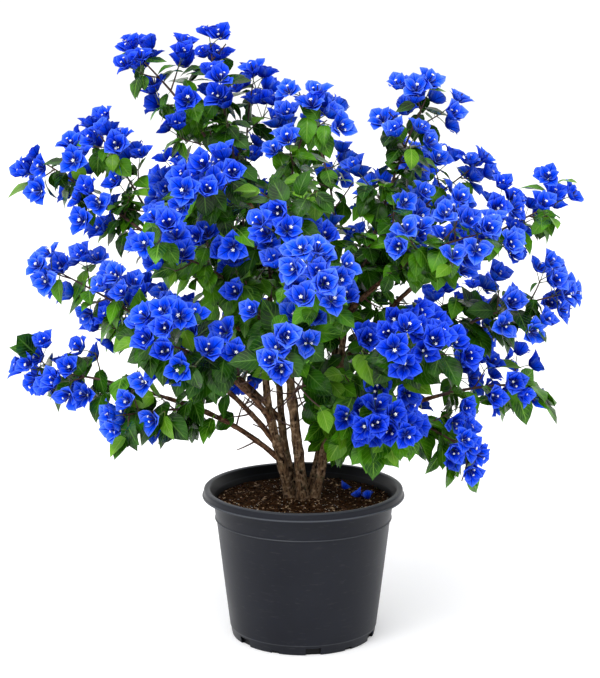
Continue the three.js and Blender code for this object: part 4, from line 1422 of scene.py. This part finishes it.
# %% Leaf finish
def sheet_places(tree):
    """From the UV map: how far from the midrib (0 to 1) and how far along (0 to 1)."""
    map_place = add_node(tree, "ShaderNodeUVMap", uv_map="UVMap").outputs[0]
    aside, along = add_node(tree, "ShaderNodeSeparateXYZ", {"Vector": map_place}).outputs[:2]
    centred = maths(tree, "ABSOLUTE", maths(tree, "SUBTRACT", aside, 0.5))
    return maths(tree, "MULTIPLY", centred, 2), along


def vein_lines(tree, aside, along, pairs, slant, width):
    """1 on the midrib, less on slanting side veins, 0 between them."""
    run = maths(tree, "MULTIPLY", maths(tree, "MULTIPLY_ADD", aside, -slant, along), pairs)
    sides = between(tree, maths(tree, "PINGPONG", run, 0.5), 0, width * pairs, 0.65, 0)
    return maths(tree, "MAXIMUM", sides, between(tree, aside, 0.02, 0.1, 1, 0))


def leaf_finish(name, deep, main, vein, roughness):
    material, tree, shader = plain_material(name, main, roughness, 0.2)
    aside, along = sheet_places(tree)
    veins = vein_lines(tree, aside, along, 7, 0.35, 0.016)
    patch = between(tree, object_noise(tree, 34, 3), 0.38, 0.62)
    faint = between(tree, veins, 0, 1, 0, 0.7)
    tree.links.new(mixed(tree, faint, mixed(tree, patch, deep, main), vein), shader.inputs["Base Color"])
    bump(tree, shader, between(tree, veins, 0, 1, 1, 0), 0.5, 0.0006)
    return material


# name, deep green, main green, green of the veins, and roughness
LEAF_GREENS = {
    "deep": ("deep green leaf", (0.0025, 0.022, 0.0004), (0.022, 0.104, 0.002), (0.10, 0.24, 0.03), 0.24),
    "mid": ("green leaf", (0.013, 0.072, 0.001), (0.080, 0.280, 0.006), (0.20, 0.43, 0.04), 0.24),
    "young": ("young leaf", (0.07, 0.21, 0.006), (0.14, 0.345, 0.012), (0.27, 0.46, 0.06), 0.3),
}


def leaf_tint(leaf):
    if leaf["young"]:
        return "young" if leaf["of"]["index"] % 3 else "mid"
    return "mid" if leaf["of"]["index"] % 2 else "deep"


for tint, greens in LEAF_GREENS.items():
    rows = [(leaf["place"], leaf["points"], leaf["looks"], leaf["size"], leaf["kind"])
            for leaf in leaves if leaf_tint(leaf) == tint]
    piece = placed(f"leaves_{tint}", rows, leaf_shapes, leaf_finish(*greens))
    finish_piece(piece, "foliage", all_sprays)
drop_collection(leaf_shapes)

# %% [markdown]
# ## Flower heads
#
# The showy part is not the flower but the bracts round it: papery leaves with pointed tips that stand in a
# cup. Here three broad outer bracts and two or three inner ones leave the throat almost flat, rise as the
# wall of the cup and then flare into a point. A bract's middle line is drawn by letting its lean change
# from base to tip, and its edges are drawn in towards the middle, which gives the cup its hollow.

# %% A head of bracts
BRACT_STATIONS = (0, 0.22, 0.48, 0.74, 0.91, 1)
OUTER_HALF_WIDTHS = (0.08, 0.32, 0.445, 0.35, 0.11, 0)
INNER_HALF_WIDTHS = (0.08, 0.27, 0.375, 0.29, 0.085, 0)
THROAT = 0.05
FOOT_END, FLARE_START = 0.35, 0.45  # shares of a bract's length


def bract_rows(length, widths, columns, leans, cup, seed):
    """Rows of one bract; leans are its angles off the axis at the foot, the wall and the tip."""
    foot, wall, flare = leans
    rows, places = [], []
    r, z, before = THROAT, 0.0, 0.0
    for s, half in zip(BRACT_STATIONS, widths):
        middle = (s + before) / 2
        lean = (wall + (foot - wall) * max(0, 1 - middle / FOOT_END)
                + (flare - wall) * max(0, (middle - FLARE_START) / (1 - FLARE_START)) ** 1.5)
        r += (s - before) * length * math.sin(lean)
        z += (s - before) * length * math.cos(lean)
        before = s
        row = []
        for c in columns:
            hollow = cup * (1 - 0.7 * s) * (c * c - 0.15 * (1 - abs(c))) * half * length
            hollow += 0.35 * length * abs(c) * half * noise.noise(Vector((seed, 3 * c, 5 * s)))
            row.append((r - hollow * math.cos(lean), c * half * length, z + hollow * math.sin(lean)))
        rows.append(row)
        places.append([(0.5 + 0.5 * c, s) for c in columns])
    return rows, places


INNER_COLUMNS = (-1, 0, 1)
OUTER_CUP, INNER_CUP, INNER_LENGTH = 0.6, 0.5, 0.88


def outer_bract(k, wall, flare, length, seed):
    """Turn in degrees, then the values that bract_rows needs but for the seed."""
    leans = (1.4, wall, flare + 0.15 * math.sin(seed * 3 + k))
    return k * 120 + 9 * math.sin(seed + k), (length, OUTER_HALF_WIDTHS, COLUMNS, leans, OUTER_CUP)


def inner_bract(k, count, wall, flare, length, seed):
    turn = 60 + k * 360 / count + 14 * math.sin(seed * 2 + k)
    leans = (1.2, wall * 0.8, flare * 0.9)
    return turn, (length * INNER_LENGTH, INNER_HALF_WIDTHS, INNER_COLUMNS, leans, INNER_CUP)


def head_mesh(name, wall, flare, inner_count, length, seed):
    """Unit head: bracts about one unit long round +Z."""
    made = bmesh.new()
    made.loops.layers.uv.new("UVMap")
    whole = bpy.data.meshes.new(name)
    made.to_mesh(whole)
    plans = [outer_bract(k, wall, flare, length, seed) for k in range(3)]
    plans += [inner_bract(k, inner_count, wall, flare, length, seed) for k in range(inner_count)]
    for k, (turn, shape) in enumerate(plans):
        part, _ = sheet_mesh(*bract_rows(*shape, seed + k * 2.3))
        spin = Matrix.Rotation(math.radians(turn), 3, "Z")
        bmesh.ops.rotate(part, verts=part.verts, cent=(0, 0, 0), matrix=spin)
        bract = mesh_of("bract", part)
        made.from_mesh(bract)
        bpy.data.meshes.remove(bract)
    made.to_mesh(whole)
    made.free()
    return whole


head_shapes = shape_collection("head", [
    head_mesh("head_open", 0.85, 1.7, 3, 0.9, 1), head_mesh("head_wide", 0.7, 1.6, 2, 0.94, 2),
    head_mesh("head_half", 0.5, 1.5, 3, 1.0, 3), head_mesh("head_bell", 0.3, 1.4, 3, 1.08, 4)])

# %% [markdown]
# The bracts are a strong royal blue, darker along the veins and paler at the thin edges. The throat is
# painted darker, as the shade at the bottom of the cup, and the tips are painted paler, as the light that
# falls on them. Three blues are dealt out by spray, because on the plant the sprays age and fade at
# different times.

# %% Bract finish
def bract_finish(name, throat_shade_and_veins, main, pale):
    material, tree, shader = plain_material(name, main, 0.75, 0.02)
    aside, along = sheet_places(tree)
    veins = vein_lines(tree, aside, along, 4, 0.5, 0.03)
    # painted shade: darker towards the throat, at the bottom of the cup
    colour = mixed(tree, between(tree, along, 0.1, 0.62, smooth=True), throat_shade_and_veins, main)
    # painted light: paler towards the tips, where the light falls
    colour = mixed(tree, between(tree, along, 0.55, 1, 0, 0.5, smooth=True), colour, pale)
    colour = mixed(tree, between(tree, maths(tree, "POWER", aside, 4), 0, 1, 0, 0.75), colour, pale)
    colour = mixed(tree, between(tree, veins, 0, 1, 0, 0.85), colour, throat_shade_and_veins)
    tree.links.new(colour, shader.inputs["Base Color"])
    bump(tree, shader, veins, 0.35, 0.0005)
    return material


# each blue is the painted shade of the throat and the colour of the veins, the main blue, and the pale of the
# edges and of the painted light on the tips
ROYAL_BLUE = ((0.0001, 0.007, 0.23), (0.002, 0.062, 0.92), (0.13, 0.26, 0.97))
BRIGHT_BLUE = ((0.0001, 0.011, 0.30), (0.006, 0.090, 0.96), (0.20, 0.34, 0.98))
DEEP_BLUE = ((0.0001, 0.005, 0.16), (0.001, 0.036, 0.73), (0.08, 0.18, 0.92))
bract_finishes = {
    "royal": bract_finish("royal blue bract", *ROYAL_BLUE),
    "bright": bract_finish("bright blue bract", *BRIGHT_BLUE),
    "deep": bract_finish("deep blue bract", *DEEP_BLUE),
}


def bract_tint(branch):
    return ("royal", "bright", "royal", "deep", "bright")[branch["index"] % 5]


def head_row(head):
    side = around(head["facing"], head["roll"] * 2 * math.pi)
    return head["place"], side, head["facing"], head["size"], head["kind"]


for tint, finish in bract_finishes.items():
    rows = [head_row(head) for head in heads if bract_tint(head["of"]) == tint]
    piece = placed(f"bracts_{tint}", rows, head_shapes, finish)
    finish_piece(piece, "blossom", blooming_sprays)

# %% [markdown]
# The true flowers are small: a slim dark tube with a white star at its mouth. One or two are open in each
# head and the others are still closed. They are tiny, but without the white dots a head has no middle.

# %% Tubes and stars
TUBE_SIDES, TUBE_RADIUS, BUD_RADIUS = 4, 0.02, 0.034  # the radii and the next line are in sizes of the head
LONE_STAR, PAIRED_STAR = 0.105, 0.075
STAR_CORNERS = 10


def small_tube(made, foot, tip, radius, tip_radius):
    way = (tip - foot).normalized()
    side = way.orthogonal().normalized()
    other = way.cross(side)
    rings = []
    for place, r in ((foot, radius), (foot.lerp(tip, 0.75), tip_radius), (tip, tip_radius * 0.6)):
        rings.append([made.verts.new(place + (side * math.cos(a) + other * math.sin(a)) * r)
                      for a in (k * 2 * math.pi / TUBE_SIDES for k in range(TUBE_SIDES))])
    for low_ring, high_ring in zip(rings[:-1], rings[1:]):
        for j in range(TUBE_SIDES):
            after = (j + 1) % TUBE_SIDES
            made.faces.new((low_ring[j], low_ring[after], high_ring[after], high_ring[j])).smooth = True
    made.faces.new(rings[-1])
    made.faces.new(rings[0][::-1])


def flower_tips(seed):
    """Foot and tip of each of the three flowers in a head, in head units."""
    for k in range(3):
        a = seed * 1.7 + k * 2.1
        reach = 0.10 if k == 0 else 0.2
        foot = Vector((0.02 * math.cos(a), 0.02 * math.sin(a), 0.02))
        yield foot, Vector((reach * math.cos(a), reach * math.sin(a), 0.52 - 0.06 * k))


def tubes_mesh(name, seed):
    made = bmesh.new()
    for foot, tip in flower_tips(seed):
        small_tube(made, foot, tip, TUBE_RADIUS, BUD_RADIUS)
    return mesh_of(name, made)


def stars_mesh(name, seed, count):
    made = bmesh.new()
    size = LONE_STAR if count == 1 else PAIRED_STAR
    for foot, tip in list(flower_tips(seed))[:count]:
        way = (tip - foot).normalized()
        side = way.orthogonal().normalized()
        other = way.cross(side)
        middle = made.verts.new(tip - way * 0.02)
        ring = []
        for k in range(STAR_CORNERS):
            a = k * math.pi / 5 + seed
            r = size if k % 2 == 0 else size * 0.5
            ring.append(made.verts.new(tip + (side * math.cos(a) + other * math.sin(a)) * r + way * 0.03))
        for k in range(STAR_CORNERS):
            made.faces.new((middle, ring[k], ring[(k + 1) % STAR_CORNERS]))
    return mesh_of(name, made)


TUBE_BLUES = ((0.012, 0.014, 0.12), (0.006, 0.008, 0.08), (0.03, 0.035, 0.22))
STAR_WHITES = ((0.85, 0.86, 0.84), (0.75, 0.78, 0.76), (0.95, 0.95, 0.92))
tube_finish = grained_material("dark flower tube", TUBE_BLUES, (0.5, 0.4), (300, 2), 0.35, 0.65)
star_finish = grained_material("white flower", STAR_WHITES, (0.55, 0.4), (400, 2))
tube_shapes = shape_collection("tube", [tubes_mesh(f"tubes_{i}", i + 1) for i in range(4)])
star_shapes = shape_collection("star", [stars_mesh(f"stars_{i}", i + 1, 1 + i % 2) for i in range(4)])
head_rows = [head_row(head) for head in heads]
for name, shapes, finish in (("flower_tubes", tube_shapes, tube_finish),
                             ("flower_stars", star_shapes, star_finish)):
    piece = placed(name, head_rows, shapes, finish)
    finish_piece(piece, "blossom", blooming_sprays)
    drop_collection(shapes)

# %% [markdown]
# A few bracts have dropped onto the potting mix. They lie on it, tipped to one side, and reuse the third
# head shape at a smaller size.

# %% Fallen bracts
FALLEN = ((0.060, 0.043, 0.4), (0.096, -0.008, 1.9), (0.084, 0.002, 3.1))  # x, y and turn
FALLEN_LIFT, FALLEN_TIP, FALLEN_SIZE, FALLEN_KIND = 1.5, 0.8, 0.0155, 2
fallen_rows = []
for x, y, turn in FALLEN:
    place = np.array([x, y, (soil_height(math.hypot(x, y) / MM) + FALLEN_LIFT) * MM])
    facing = blend((UP, 1), ((math.cos(turn), math.sin(turn), 0), FALLEN_TIP))
    fallen_rows.append((place, around(facing, turn), facing, FALLEN_SIZE, FALLEN_KIND))
fallen = placed("fallen_bracts", fallen_rows, head_shapes, bract_finishes["royal"])
finish_piece(fallen, "blossom", ["soil"])
drop_collection(head_shapes)

# %% [markdown]
# ## Counting the triangles
#
# The last line prints how many triangles the pieces have in all.

# %% Triangles in all
print("triangles in all:", sum(len(piece.data.loop_triangles) for piece in made_pieces))
